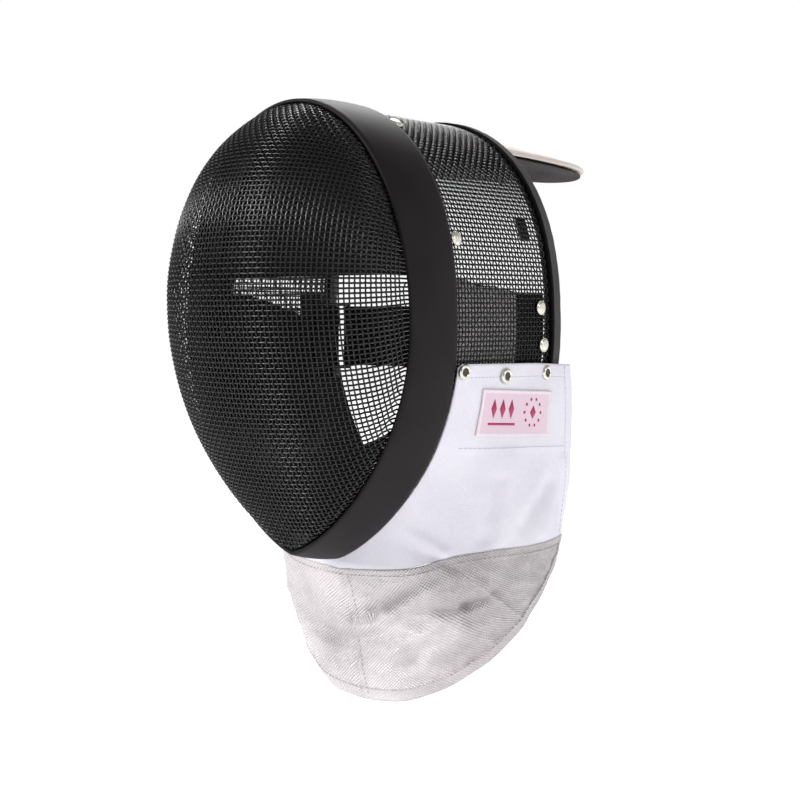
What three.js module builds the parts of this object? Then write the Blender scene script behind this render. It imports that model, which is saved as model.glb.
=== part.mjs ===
// A fencing mask: a domed face mesh and a hood mesh held by an egg-shaped trim band, with a bound rear
// edge, pads, a back strap, a sprung tongue and a cloth bib with a conductive lower panel.
// Millimetres. The face looks along -Y, +X is the wearer's left, and the origin is the place on the
// underside of the crown pad where the top of the head rests.
import * as THREE from "three";
import { mergeVertices } from "three/addons/utils/BufferGeometryUtils.js";

// General sizes
const gap = 0.3; // between pieces that touch
const meshWall = 2; // two crossed wires
const trimWall = 2.5;
const trimWidth = 44; // along Y
const ringFront = 94; // from the head seat forward to the trim's front edge

// The ring's outline at the trim's front and rear edge
const frontOutline = { half: 102.5, up: 147.5, down: 150, upPower: 2, downPower: 2, taper: 0.75 };
const trimSpread = { half: 1.5, up: 1.1, down: 8 }; // how much further out the rear edge lies
const rearOutline = {
  half: frontOutline.half + trimSpread.half,
  up: frontOutline.up + trimSpread.up,
  down: frontOutline.down + trimSpread.down,
  upPower: 2.4,
  downPower: 2.2,
  taper: 0.8,
};
const trimCrown = 1.2; // how far the band swells between its edges

// Face mesh
const domeDepth = 62.8;
const domeTuck = 8; // how far the mesh runs back under the trim
const domeProfile = [
  { level: -1, depth: 0 },
  { level: -0.92, depth: 0.095 },
  { level: -0.79, depth: 0.283 },
  { level: -0.62, depth: 0.493 },
  { level: -0.42, depth: 0.695 },
  { level: -0.21, depth: 0.84 },
  { level: 0, depth: 0.95 },
  { level: 0.2, depth: 1 },
  { level: 0.4, depth: 0.95 },
  { level: 0.61, depth: 0.815 },
  { level: 0.78, depth: 0.6 },
  { level: 0.92, depth: 0.28 },
  { level: 1, depth: 0 },
];

// Hood mesh and its rear binding
const hoodLength = 107; // behind the trim
const hoodTuck = 8;
const hoodFlare = 4.5; // how much wider each side stands at the rear
const hoodFall = 2.2; // how much lower the ridge lies at the rear
const hoodSkirt = 42; // how far the sides reach below the ring's widest level
const bindingWidth = 10.5;
const bindingWall = 1.8;

// Bib: plan sections from the wing tops down to the hem, as shares of the named sizes
const bibWall = 1.5;
const bibDrop = 233.5; // from the wing tops to the lowest hem
const bibStart = 24.5; // from the ring's widest level down to the wing tops
const bibLean = 3; // how much lower the wing tops lie at their rear ends
const bibLength = 117; // the trim to the end of the round front is measured in shares of this
const bibSections = [
  { drop: 0, half: 1, centre: 0.655, reach: 0.64, run: 0.88 },
  { drop: 0.1, half: 0.985, centre: 0.653, reach: 0.64, run: 0.99 },
  { drop: 0.244, half: 0.968, centre: 0.65, reach: 0.64, run: 1.19 },
  { drop: 0.409, half: 0.964, centre: 0.64, reach: 0.64, run: 1.45 },
  { drop: 0.5, half: 0.964, centre: 0.639, reach: 0.638, run: 1.48 },
  { drop: 0.575, half: 0.964, centre: 0.638, reach: 0.636, run: 1.44 },
  { drop: 0.623, half: 0.963, centre: 0.64, reach: 0.6, run: 1.35 },
  { drop: 0.734, half: 0.95, centre: 0.645, reach: 0.525, run: 1.17 },
  { drop: 0.824, half: 0.907, centre: 0.69, reach: 0.545, run: 1.05 },
  { drop: 0.914, half: 0.843, centre: 0.78, reach: 0.595, run: 1.02 },
  { drop: 1, half: 0.777, centre: 0.86, reach: 0.62, run: 1 },
];
const bibBack = 0.44; // how far the sides run on behind the round front, as a share of its quarter turn
const bibSide = 100; // length of side that such a quarter turn stands for
const bibCurl = { depth: 20, from: 0.1, to: 0.6 }; // how far the rear edges curl inwards, growing over these drops
const bibSeam = [
  { turn: 0, drop: 0.599 },
  { turn: 0.22, drop: 0.583 },
  { turn: 0.4, drop: 0.541 },
  { turn: 0.57, drop: 0.526 },
  { turn: 1, drop: 0.531 },
];
const bibHem = [
  { turn: 0, drop: 1 },
  { turn: 0.14, drop: 0.99 },
  { turn: 0.3, drop: 0.947 },
  { turn: 0.46, drop: 0.872 },
  { turn: 0.6, drop: 0.783 },
  { turn: 0.74, drop: 0.702 },
  { turn: 0.88, drop: 0.625 },
  { turn: 1, drop: 0.558 },
];
const bibFolds = [
  { turn: 0.2, width: 0.09, depth: 0.6 },
  { turn: 0.42, width: 0.06, depth: -1 },
  { turn: 0.62, width: 0.07, depth: 0.8 },
  { turn: 0.84, width: 0.06, depth: -0.7 },
];
const foldDepth = 2.2;

// Cloth patch on the wearer's left wing
const patchWidth = 70;
const patchHeight = 30.5;
const patchWall = 0.8;
const patchBack = 25.5; // behind the trim
const patchDrop = 16.5; // below the wing top
const patchSlope = 4; // how much lower its rear end hangs

// Rivets and snaps: back is measured from the trim's rear edge, level from the ring's widest level
const rivetRadius = 5;
const rivetHeight = 2.4;
const bindingFront = hoodLength + gap + bindingWall - bindingWidth; // from the trim to the binding's front edge
const hoodRivets = [
  { name: "rivet_top", back: 6, level: rearOutline.up - 14.1 },
  { name: "rivet_temple", back: 6.5, level: 56 },
  { name: "rivet_strap_upper", back: bindingFront - 10.7, level: 11.5 },
  { name: "rivet_strap_lower", back: bindingFront - 7.1, level: -14 },
];
const bibSnaps = [
  { name: "snap_front", back: 7.5, drop: 4.9 },
  { name: "snap_middle", back: 46, drop: 8.6 },
  { name: "snap_rear", back: bindingFront - 9.2, drop: 7.7 },
];

// Tongue: a sprung strip with a light cover and a dark lining underneath
const tongueWall = 5.2;
const tongueLiningWall = 2;
const tongueHalf = 46;
const tongueLength = 173;
const tongueSag = 18.5; // from root to tip
const tongueBend = 1.4; // power of the sag along the length, 1 for a straight slope
const tongueArch = 14; // how much its sides hang at the root
const tongueArchTip = 2;
const tongueRim = 2.5; // how far the cover's rim stands past the lining
const tongueTip = 0.5; // share of the length that rounds off to the tip
const tongueRound = 2.4; // power of that rounding, 2 for an ellipse
const tongueBlunt = 0.998; // share of the length at which the tip is cut square
const tongueCrowd = 1.15; // power that crowds the rows towards the tip

// Pads
const crownPad = { wall: 12, start: 8, level: rearOutline.up - 44.6 };
const foreheadPad = { wall: 12, from: 29.5, rise: 0, to: rearOutline.up - 13.6, back: 25, bow: 3, inset: 2.8 };
const chinPad = {
  wall: 10,
  from: 77 - rearOutline.down,
  rise: 24, // how much higher its free edge stands at the sides
  to: 17 - rearOutline.down,
  back: 24,
  bow: 0,
  inset: 2.2,
};
const cheekPad = {
  wall: 10,
  left: { front: 34, top: 38, topRear: 24, topBend: 1 },
  right: { front: 20, top: 28, topRear: 5.5, topBend: 1.4 }, // topBend: power of the top's fall rearwards
  frontLow: 38,
  low: -120,
  lowRear: -84,
  lowBend: 1.5, // power of the lower edge's rise towards the rear
  strapRoom: 4.6,
};

// Strap across the rear opening, with its tabs and its slide
const strapWall = 1.8;
const strapWidth = 45;
const strapLevel = 13; // top edge, above the ring's widest level
const strapTab = { rear: bindingFront - 3.4, length: 28, lengthLow: 23, rise: 9 }; // rise above the strap
const strapLap = 17; // how far the strap lies inside the near tab
const strapBend = 10; // corner between the tab and the rear opening
const strapBow = 3; // how far the strap swells behind the corners
const strapSlide = { bar: 2.4, width: 15, margin: 2.5, slit: 3.8 };
const sideTab = { back: bindingFront - 20.6, level: 66.2, width: 9.2, height: 16.6 };

// Places worked out from the sizes
const yFront = -ringFront;
const yTrim = yFront + trimWidth;
const yHood = yTrim + hoodLength;
const meshInset = trimWall + gap + meshWall / 2;
const bindingInset = meshInset - meshWall / 2 - gap - bindingWall;
const hoodInner = meshInset + meshWall / 2 + gap;
const padInset = hoodInner + gap;
const seatFall = (hoodFall * -yTrim) / hoodLength;
const zWaist = -(rearOutline.up - seatFall - padInset - crownPad.wall);
const bibTop = zWaist - bibStart;
const bindingOuter = bandHalf(-bibStart, yHood + gap + bindingWall, bindingInset);
const bibHalf = bindingOuter + gap + bibWall / 2;
const cheekRear = strapTab.rear - strapLap - cheekPad.strapRoom;

const colours = {
  wire: { color: 0x1b1a1c, roughness: 0.5, metalness: 0.6 },
  vinyl: { color: 0x262023, roughness: 0.5, metalness: 0 },
  webbing: { color: 0x4b4849, roughness: 0.8, metalness: 0 },
  cloth: { color: 0xe8e6ee, roughness: 0.95, metalness: 0 },
  lame: { color: 0xcdc8ca, roughness: 0.6, metalness: 0.3 },
  patch: { color: 0xe8d7e1, roughness: 0.9, metalness: 0 },
  cream: { color: 0xd7cdc8, roughness: 0.7, metalness: 0 },
  lining: { color: 0x464243, roughness: 0.9, metalness: 0 },
  nickel: { color: 0xdcdcc8, roughness: 0.25, metalness: 1 },
  elastic: { color: 0x151314, roughness: 0.9, metalness: 0 },
  slide: { color: 0x101011, roughness: 0.4, metalness: 0 },
};

const mask = new THREE.Group();

function addPiece(name, geometry, colour) {
  const piece = new THREE.Mesh(geometry, new THREE.MeshStandardMaterial(colours[colour]));
  piece.name = name;
  mask.add(piece);
  return piece;
}

const mix = (a, b, share) => a + (b - a) * share;
const steps = (count) => Array.from({ length: count + 1 }, (_, i) => i / count);

// A smooth curve through a table's rows that never overshoots them.
function curveOf(rows, along, column) {
  const slopes = rows.slice(1).map((row, i) => (row[column] - rows[i][column]) / (row[along] - rows[i][along]));
  const tangents = rows.map((_, i) => {
    const before = slopes[Math.max(i - 1, 0)];
    const after = slopes[Math.min(i, slopes.length - 1)];
    return before * after <= 0 ? 0 : (2 * before * after) / (before + after);
  });
  return (at) => {
    const x = THREE.MathUtils.clamp(at, rows[0][along], rows.at(-1)[along]);
    const i = Math.max(0, Math.min(rows.length - 2, rows.findIndex((row) => row[along] >= x) - 1));
    const span = rows[i + 1][along] - rows[i][along];
    const s = (x - rows[i][along]) / span;
    const from = rows[i][column] * (1 + 2 * s) * (1 - s) ** 2 + tangents[i] * span * s * (1 - s) ** 2;
    return from + rows[i + 1][column] * s * s * (3 - 2 * s) + tangents[i + 1] * span * s * s * (s - 1);
  };
}

// Half width of an outline at a height above the ring's widest level.
function outlineHalf(outline, level) {
  const share = Math.min(1, Math.abs(level) / (level > 0 ? outline.up : outline.down));
  return level > 0
    ? outline.half * (1 - share ** outline.upPower) ** 0.5
    : outline.half * (1 - share ** outline.downPower) ** outline.taper;
}

// Point of an outline, moved inwards by inset: turn runs from 0 at the top to 1 all the way round, with a
// quarter at the wearer's left.
function outlinePoint(outline, turn, inset) {
  const at = (share) => {
    const angle = share * 2 * Math.PI;
    const rise = Math.abs(Math.cos(angle));
    const side = Math.abs(Math.sin(angle));
    const above = Math.cos(angle) > 0;
    const z = above ? outline.up * rise ** (2 / outline.upPower) : -outline.down * rise ** (2 / outline.downPower);
    const x = outline.half * (above ? side : side ** (2 * outline.taper)) * Math.sign(Math.sin(angle));
    return new THREE.Vector2(x, z);
  };
  const small = 0.004;
  const tangent = at(turn + small).sub(at(turn - small)).normalize();
  const point = at(turn).add(new THREE.Vector2(-tangent.y, tangent.x).multiplyScalar(-inset));
  return point;
}

// Point on the band between the two outlines, at y and moved inwards by inset.
function bandPoint(turn, y, inset) {
  const share = (y - yFront) / trimWidth;
  const ahead = outlinePoint(frontOutline, turn, inset);
  const behind = outlinePoint(rearOutline, turn, inset);
  const point = ahead.lerp(behind, Math.min(1, share));
  const rearward = Math.max(0, (y - yTrim) / hoodLength);
  const flare = 1 + (hoodFlare / rearOutline.half) * rearward;
  const fall = hoodFall * rearward * Math.max(0, point.y / rearOutline.up) ** 2;
  return new THREE.Vector3(point.x * flare, y, zWaist + point.y - fall);
}

// The turn at which the rear outline passes a level, on the wearer's left.
function turnAtLevel(level) {
  const share = level > 0
    ? (level / rearOutline.up) ** (rearOutline.upPower / 2)
    : -((-level / rearOutline.down) ** (rearOutline.downPower / 2));
  return Math.acos(THREE.MathUtils.clamp(share, -1, 1)) / (2 * Math.PI);
}

// Half width of the band at a height above the ring's widest level, at y and inside the inset.
function bandHalf(level, y, inset) {
  let above = 0;
  let below = 0.5;
  for (let i = 0; i < 40; i++) {
    const middle = (above + below) / 2;
    if (bandPoint(middle, y, inset).z > zWaist + level) above = middle;
    else below = middle;
  }
  return bandPoint(below, y, inset).x;
}

// A closed solid from corner points and triangles, with doubled corners joined.
function solid(points, triangles) {
  const geometry = new THREE.BufferGeometry();
  geometry.setAttribute("position", new THREE.Float32BufferAttribute(points.flatMap((p) => [p.x, p.y, p.z]), 3));
  geometry.setIndex(triangles);
  const merged = mergeVertices(geometry, 1e-3);
  const index = merged.index.array;
  const kept = [];
  for (let i = 0; i < index.length; i += 3) {
    const [a, b, c] = [index[i], index[i + 1], index[i + 2]];
    if (a !== b && b !== c && c !== a) kept.push(a, b, c);
  }
  merged.setIndex(kept);
  merged.computeVertexNormals();
  return merged;
}

// A wall of even thickness round a grid of points. The outer side faces the cross product of the column
// and row directions, and loop joins the last column to the first.
function wall(grid, thickness, loop = false) {
  const rows = grid.length;
  const columns = grid[0].length;
  const column = (j) => (loop ? (j + columns) % columns : Math.max(0, Math.min(columns - 1, j)));
  const row = (i) => Math.max(0, Math.min(rows - 1, i));
  const normalAt = (i, j) => {
    const along = grid[i][column(j + 1)].clone().sub(grid[i][column(j - 1)]);
    const across = grid[row(i + 1)][j].clone().sub(grid[row(i - 1)][j]);
    if (along.lengthSq() < 1e-6) {
      along.copy(grid[row(i + 1)][column(j + 1)]).sub(grid[row(i + 1)][column(j - 1)]);
    }
    return along.cross(across).normalize();
  };
  const outer = grid.map((line, i) => line.map((p, j) => p.clone().addScaledVector(normalAt(i, j), thickness / 2)));
  const inner = grid.map((line, i) => line.map((p, j) => p.clone().addScaledVector(normalAt(i, j), -thickness / 2)));
  const points = [...outer.flat(), ...inner.flat()];
  const back = rows * columns;
  const at = (i, j) => i * columns + column(j);
  const triangles = [];
  const quad = (a, b, c, d) => triangles.push(a, b, c, a, c, d);
  const across = loop ? columns : columns - 1;
  for (let i = 0; i < rows - 1; i++) {
    for (let j = 0; j < across; j++) {
      quad(at(i, j), at(i, j + 1), at(i + 1, j + 1), at(i + 1, j));
      quad(back + at(i, j), back + at(i + 1, j), back + at(i + 1, j + 1), back + at(i, j + 1));
    }
  }
  for (let j = 0; j < across; j++) {
    quad(at(0, j), back + at(0, j), back + at(0, j + 1), at(0, j + 1));
    quad(at(rows - 1, j), at(rows - 1, j + 1), back + at(rows - 1, j + 1), back + at(rows - 1, j));
  }
  if (!loop) {
    const last = columns - 1;
    for (let i = 0; i < rows - 1; i++) {
      quad(at(i, 0), at(i + 1, 0), back + at(i + 1, 0), back + at(i, 0));
      quad(at(i, last), back + at(i, last), back + at(i + 1, last), at(i + 1, last));
    }
  }
  return solid(points, triangles);
}

// A closed profile carried along stations. Each station gives the profile's points in space.
function sweep(stations, profileShape) {
  const count = stations[0].length;
  const points = stations.flat();
  const triangles = [];
  for (let i = 0; i < stations.length - 1; i++) {
    for (let j = 0; j < count; j++) {
      const next = (j + 1) % count;
      const [a, b, c, d] = [i * count + j, i * count + next, (i + 1) * count + next, (i + 1) * count + j];
      triangles.push(a, b, c, a, c, d);
    }
  }
  const end = (stations.length - 1) * count;
  for (const [a, b, c] of THREE.ShapeUtils.triangulateShape(profileShape, [])) {
    triangles.push(a, c, b, end + a, end + b, end + c);
  }
  return solid(points, triangles);
}

// Trim band
const ringTurns = steps(64).slice(0, -1);
function trimBand() {
  const rows = steps(4).map((share) => {
    const crown = trimCrown * 4 * share * (1 - share);
    return ringTurns.map((turn) => bandPoint(turn, yFront + share * trimWidth, trimWall / 2 - crown));
  });
  return wall(rows, trimWall, true);
}
addPiece("front_trim", trimBand(), "vinyl");

// Face mesh: a dome whose plan sections are half ellipses
const depthAt = curveOf(domeProfile, "level", "depth");
function faceMesh() {
  const inset = { ...frontOutline };
  inset.half -= meshInset;
  inset.up -= meshInset;
  inset.down -= meshInset;
  const domePoint = (x, z) => {
    const level = z - zWaist;
    const half = Math.max(outlineHalf(inset, level), 1e-3);
    const share = level > 0 ? level / inset.up : level / inset.down;
    const round = Math.sqrt(Math.max(0, 1 - (x / half) ** 2));
    return new THREE.Vector3(x, yFront - domeDepth * depthAt(share) * round, z);
  };
  const rings = steps(12).slice(1).map((share) => Math.sin((share * Math.PI) / 2));
  const turns = ringTurns.filter((_, i) => i % 2 === 0);
  const rows = [turns.map(() => domePoint(0, zWaist))];
  for (const ring of rings) {
    rows.push(turns.map((turn) => {
      const rim = bandPoint(turn, yFront, meshInset);
      if (ring > 1 - 1e-9) return rim;
      return domePoint(rim.x * ring, mix(zWaist, rim.z, ring));
    }));
  }
  rows.push(turns.map((turn) => bandPoint(turn, yFront + domeTuck, meshInset)));
  return wall(rows, meshWall, true);
}
addPiece("front_mesh", faceMesh(), "wire");

// Hood mesh: an arch over the head, from one side's lower edge to the other's
const hoodTurn = turnAtLevel(-hoodSkirt);
const archTurns = steps(44).map((share) => mix(-hoodTurn, hoodTurn, share));
function hoodMesh() {
  const depths = [yTrim - hoodTuck, ...steps(4).map((share) => mix(yTrim, yHood, share))];
  return wall(depths.map((y) => archTurns.map((turn) => bandPoint(turn, y, meshInset))), meshWall);
}
addPiece("side_mesh", hoodMesh(), "wire");

// Rear binding: a channel folded over the hood's rear edge
function rearBinding() {
  const legIn = meshInset + meshWall / 2 + gap;
  const yEnd = yHood + gap + bindingWall;
  const yLeg = yEnd - bindingWidth;
  const yBase = yHood + gap;
  const profile = [
    [bindingInset, yLeg],
    [bindingInset + bindingWall, yLeg],
    [bindingInset + bindingWall, yBase],
    [legIn, yBase],
    [legIn, yLeg],
    [legIn + bindingWall, yLeg],
    [legIn + bindingWall, yEnd],
    [bindingInset, yEnd],
  ];
  const stations = archTurns.map((turn) => profile.map(([inset, y]) => bandPoint(turn, y, inset)));
  const shape = profile.map(([inset, y]) => new THREE.Vector2(inset, y));
  return sweep(stations, shape);
}
addPiece("rear_binding", rearBinding(), "webbing");

// Bib surface: turn is 0 at the front centre, 1 at the rear corners, and drop is 0 at the wing tops, 1 at
// the lowest hem
const bibHalfAt = curveOf(bibSections, "drop", "half");
const bibCentreAt = curveOf(bibSections, "drop", "centre");
const bibReachAt = curveOf(bibSections, "drop", "reach");
const bibRunAt = curveOf(bibSections, "drop", "run");
const yBib = yTrim + gap + bibWall / 2;
function bibPlan(z) {
  const drop = (bibTop - z) / bibDrop;
  const half = bibHalf * bibHalfAt(drop);
  const centre = yBib + bibLength * bibCentreAt(drop);
  const ring = Math.max(0, outlineHalf(rearOutline, z - zWaist) - trimWall / 2);
  const onRing = ring / half;
  const reach = (bibLength * bibReachAt(drop)) / Math.sqrt(1 - onRing ** 2);
  const run = bibSide * bibRunAt(drop);
  return { drop, half, centre, reach, run, start: (Math.asin(onRing) * 2) / Math.PI };
}
const bibEnd = 1 + bibBack;
function bibPoint(around, z, out = 0) {
  const plan = bibPlan(z);
  const turn = Math.abs(around);
  const angle = (Math.min(turn, 1) * Math.PI) / 2;
  const back = Math.max(0, turn - 1) * plan.run;
  const loose = THREE.MathUtils.smoothstep(plan.drop, 0.3, 1);
  const ripple = bibFolds.reduce(
    (sum, fold) => sum + fold.depth * Math.exp(-(((turn / bibEnd - fold.turn) / fold.width) ** 2)),
    0,
  );
  const push = out + foldDepth * ripple * loose;
  const curl = bibCurl.depth * THREE.MathUtils.smoothstep(plan.drop, bibCurl.from, bibCurl.to);
  const x = (plan.half + push) * Math.sin(angle) - curl * (Math.max(0, turn - 1) / bibBack) ** 2;
  const y = plan.centre - (plan.reach + push) * Math.cos(angle) + back;
  return new THREE.Vector3(x * Math.sign(around), y, z);
}
const seamAt = curveOf(bibSeam, "turn", "drop");
const hemAt = curveOf(bibHem, "turn", "drop");
const zAtDrop = (drop) => bibTop - bibDrop * drop;

// Height of the bib's upper edge: on the trim, and then along the wing's top
const wingStart = bibPlan(bibTop).start;
function ringEdge(turn) {
  let high = bibTop;
  let low = zWaist - rearOutline.down;
  if (wingStart <= turn) return bibTop - (bibLean * (turn - wingStart)) / (bibEnd - wingStart);
  for (let i = 0; i < 40; i++) {
    const middle = (high + low) / 2;
    if (bibPlan(middle).start > turn) high = middle;
    else low = middle;
  }
  return low;
}
function bibColumns() {
  const onRing = steps(16).map((share) => {
    const level = mix(rearOutline.down, bibStart, (1 - Math.cos(share * Math.PI)) / 2);
    return share === 1 ? wingStart : bibPlan(zWaist - level).start;
  });
  const onWing = steps(6).slice(1).map((share) => mix(wingStart, bibEnd, share));
  const half = [...onRing, ...onWing];
  half[0] = 0;
  return [...half.slice(1).reverse().map((turn) => -turn), ...half];
}
function bibPanel(columns, topOf, bottomOf, rows) {
  const grid = steps(rows).map((share) => columns.map((around) => {
    const turn = Math.abs(around);
    const z = mix(topOf(turn), bottomOf(turn), share);
    return bibPoint(around || 1e-9, z);
  }));
  return wall(grid, bibWall);
}
const columns = bibColumns();
addPiece(
  "bib_upper",
  bibPanel(columns, ringEdge, (turn) => zAtDrop(seamAt(turn / bibEnd)) + gap, 7),
  "cloth",
);
addPiece(
  "bib_lower",
  bibPanel(columns, (turn) => zAtDrop(seamAt(turn / bibEnd)), (turn) => zAtDrop(hemAt(turn / bibEnd)), 5),
  "lame",
);

// Turn of the bib at a distance behind the trim, at a height
function bibTurn(back, z) {
  const plan = bibPlan(z);
  const y = yTrim + back;
  if (y >= plan.centre) return 1 + (y - plan.centre) / plan.run;
  return (Math.acos(Math.min(1, (plan.centre - y) / plan.reach)) * 2) / Math.PI;
}

// Cloth patch
function patch() {
  const out = bibWall / 2 + gap + patchWall / 2;
  const grid = steps(2).map((down) => steps(6).map((along) => {
    const z = bibTop - patchDrop - patchHeight * down - patchSlope * along;
    return bibPoint(bibTurn(patchBack + patchWidth * along, z), z, out);
  }));
  return wall(grid, patchWall);
}
addPiece("label_patch", patch(), "patch");

// Rivets and snaps on both sides
function rivetHead() {
  const profile = steps(3).map((share) => {
    const angle = (share * Math.PI) / 2;
    return new THREE.Vector2(rivetRadius * Math.cos(angle), rivetHeight * Math.sin(angle));
  });
  profile.unshift(new THREE.Vector2(0, 0));
  profile[profile.length - 1].x = 0;
  const lathe = new THREE.LatheGeometry(profile, 12);
  lathe.deleteAttribute("normal");
  lathe.deleteAttribute("uv");
  lathe.rotateX(Math.PI / 2);
  const merged = mergeVertices(lathe, 1e-4);
  return solid(
    Array.from({ length: merged.attributes.position.count }, (_, i) =>
      new THREE.Vector3().fromBufferAttribute(merged.attributes.position, i)),
    [...merged.index.array],
  );
}
function seatRivet(name, at, along, across) {
  for (const [side, sign] of [["left", 1], ["right", -1]]) {
    const mirror = new THREE.Vector3(sign, 1, 1);
    const out = across.clone().multiply(mirror).cross(along.clone().multiply(mirror)).normalize();
    if (out.x * sign < 0) out.negate();
    const rivet = addPiece(`${name}_${side}`, rivetHead(), "nickel");
    rivet.position.copy(at.clone().multiply(mirror));
    rivet.quaternion.setFromUnitVectors(new THREE.Vector3(0, 0, 1), out);
  }
}
for (const { name, back, level } of hoodRivets) {
  const turn = turnAtLevel(level);
  const y = yTrim + back;
  const at = bandPoint(turn, y, meshInset - meshWall / 2 - gap);
  const along = bandPoint(turn + 0.01, y, meshInset).sub(bandPoint(turn - 0.01, y, meshInset));
  seatRivet(name, at, along, new THREE.Vector3(0, 1, 0));
}
for (const { name, back, drop } of bibSnaps) {
  const z = bibTop - drop;
  const turn = bibTurn(back, z);
  const at = bibPoint(turn, z, bibWall / 2 + gap * 2);
  const along = bibPoint(turn + 0.01, z).sub(bibPoint(turn - 0.01, z));
  const across = bibPoint(turn, z + 1).sub(bibPoint(turn, z - 1));
  seatRivet(name, at, along, across);
}

// Tongue
const bindingInner = meshInset + meshWall / 2 + gap + bindingWall;
const zRidge = zWaist + rearOutline.up - hoodFall - bindingInner - gap;
const yTongue = yHood + gap + bindingWall - bindingWidth;
function tonguePoint(along, across, lower, narrow) {
  const tip = THREE.MathUtils.clamp((along - 1 + tongueTip) / tongueTip, 0, 1);
  const half = (tongueHalf - narrow) * Math.sqrt(Math.max(0, 1 - tip ** tongueRound));
  const x = across * half;
  const arch = mix(tongueArch, tongueArchTip, along) * (x / tongueHalf) ** 2;
  const z = zRidge - tongueSag * along ** tongueBend - arch - lower;
  return new THREE.Vector3(x, yTongue + (tongueLength - narrow) * along, z);
}
function tongueLayer(lower, narrow, thickness) {
  const lengths = steps(13).map((share) => Math.sin((share * Math.PI) / 2) ** tongueCrowd * tongueBlunt);
  const grid = lengths.map((along) => steps(8).map((share) => tonguePoint(along, mix(-1, 1, share), lower, narrow)));
  return wall(grid, thickness);
}
addPiece("tongue_cover", tongueLayer(tongueWall / 2, 0, tongueWall), "cream");
addPiece(
  "tongue_lining",
  tongueLayer(tongueWall + 3 * gap + tongueLiningWall / 2, tongueRim, tongueLiningWall),
  "lining",
);

// Crown pad under the hood's ridge
function crown() {
  const reach = turnAtLevel(crownPad.level);
  const inset = padInset + crownPad.wall / 2;
  const depths = steps(3).map((share) => mix(yTrim + crownPad.start, yTongue - 2 * gap, share));
  const turns = steps(20).map((share) => mix(-reach, reach, share));
  return wall(depths.map((y) => turns.map((turn) => bandPoint(turn, y, inset))), crownPad.wall);
}
addPiece("crown_pad", crown(), "elastic");

// A pad across the ring, from its free edge to its far end in the top or the bottom of the ring
function ringPad(pad) {
  const grid = steps(6).map((share) => steps(14).map((side) => {
    const across = mix(-1, 1, side);
    const level = mix(pad.from + pad.rise * across ** 2, pad.to, Math.sin((share * Math.PI) / 2));
    const half = bandHalf(level, yFront + pad.back, pad.inset);
    const y = yFront + pad.back + pad.bow * (1 - across ** 2);
    return new THREE.Vector3(across * half, y, zWaist + level);
  }));
  if (pad.to > pad.from) grid.reverse();
  return wall(grid, pad.wall);
}
addPiece("forehead_pad", ringPad(foreheadPad), "elastic");
addPiece("chin_pad", ringPad(chinPad), "elastic");

// Cheek pads inside the ring and the hood's sides
function cheek(sign, edge) {
  const inset = padInset + strapWall + gap + cheekPad.wall / 2;
  const grid = steps(8).map((down) => steps(8).map((along) => {
    const front = mix(edge.front, cheekPad.frontLow, down);
    const top = mix(edge.top, edge.topRear, along ** edge.topBend);
    const low = mix(cheekPad.low, cheekPad.lowRear, along ** cheekPad.lowBend);
    const y = yFront + mix(front, trimWidth + cheekRear, along);
    const point = bandPoint(turnAtLevel(mix(top, low, down)), y, inset);
    return new THREE.Vector3(point.x * sign, y, point.z);
  }));
  return wall(sign > 0 ? grid : grid.map((line) => line.reverse()), cheekPad.wall);
}
addPiece("cheek_pad_left", cheek(1, cheekPad.left), "elastic");
addPiece("cheek_pad_right", cheek(-1, cheekPad.right), "elastic");

// A plate on the inside of the hood's side
function innerPlate(sign, front, frontLow, rear, levelTop, levelLow) {
  const grid = steps(3).map((down) => steps(3).map((along) => {
    const turn = turnAtLevel(mix(levelTop, levelLow, down));
    const y = yTrim + mix(mix(front, frontLow, down), rear, along);
    const point = bandPoint(turn, y, hoodInner + strapWall / 2);
    return new THREE.Vector3(point.x * sign, point.y, point.z);
  }));
  return wall(sign > 0 ? grid : grid.map((line) => line.reverse()), strapWall);
}
const strapLow = strapLevel - strapWidth;
const tabTop = sideTab.level + sideTab.height / 2;
for (const [side, sign] of [["left", 1], ["right", -1]]) {
  const [tabFront, tabFrontLow] = [strapTab.rear - strapTab.length, strapTab.rear - strapTab.lengthLow];
  const tab = innerPlate(sign, tabFront, tabFrontLow, strapTab.rear, strapLevel + strapTab.rise, strapLow);
  addPiece(`strap_tab_${side}`, tab, "elastic");
  const tabRear = sideTab.back + sideTab.width;
  const small = innerPlate(sign, sideTab.back, sideTab.back, tabRear, tabTop, tabTop - sideTab.height);
  addPiece(`side_tab_${side}`, small, "elastic");
}

// A band of strap that stands upright on a plan route
function strapBand(route) {
  const zTop = zWaist + strapLevel;
  const grid = steps(2).map((down) => route.map(([x, y]) => new THREE.Vector3(x, y, zTop - strapWidth * down)));
  return wall(grid, strapWall);
}
// The strap leaves the left tab, bends across the rear opening and ends on the slide at the right
const yTabEnd = yTrim + strapTab.rear;
const strapInset = hoodInner + strapWall + 2 * gap + strapWall / 2;
const xTab = bandPoint(turnAtLevel(strapLow), yTabEnd - strapLap, strapInset).x;
const yStrap = yTabEnd + strapBend;
const slideOut = new THREE.Vector2(-xTab, yTabEnd + gap);
const slideAlong = new THREE.Vector2(1, 1).normalize();
const strapStart = slideOut.clone().addScaledVector(slideAlong, strapSlide.width - 2 * strapSlide.bar);
const strapCorner = slideOut.clone().addScaledVector(slideAlong, strapSlide.width + strapSlide.bar);
function strapRoute() {
  const bend = steps(4).map((share) => {
    const angle = (share * Math.PI) / 2;
    return [xTab - strapBend * (1 - Math.cos(angle)), yTabEnd + strapBend * Math.sin(angle)];
  });
  const across = steps(10).slice(1).map((share) => [
    mix(xTab - strapBend, strapCorner.x, share),
    mix(yStrap, strapCorner.y, share) + strapBow * 4 * share * (1 - share),
  ]);
  return [[xTab, yTabEnd - strapLap], ...bend, ...across, [strapStart.x, strapStart.y]];
}
addPiece("back_strap", strapBand(strapRoute()), "elastic");

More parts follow.
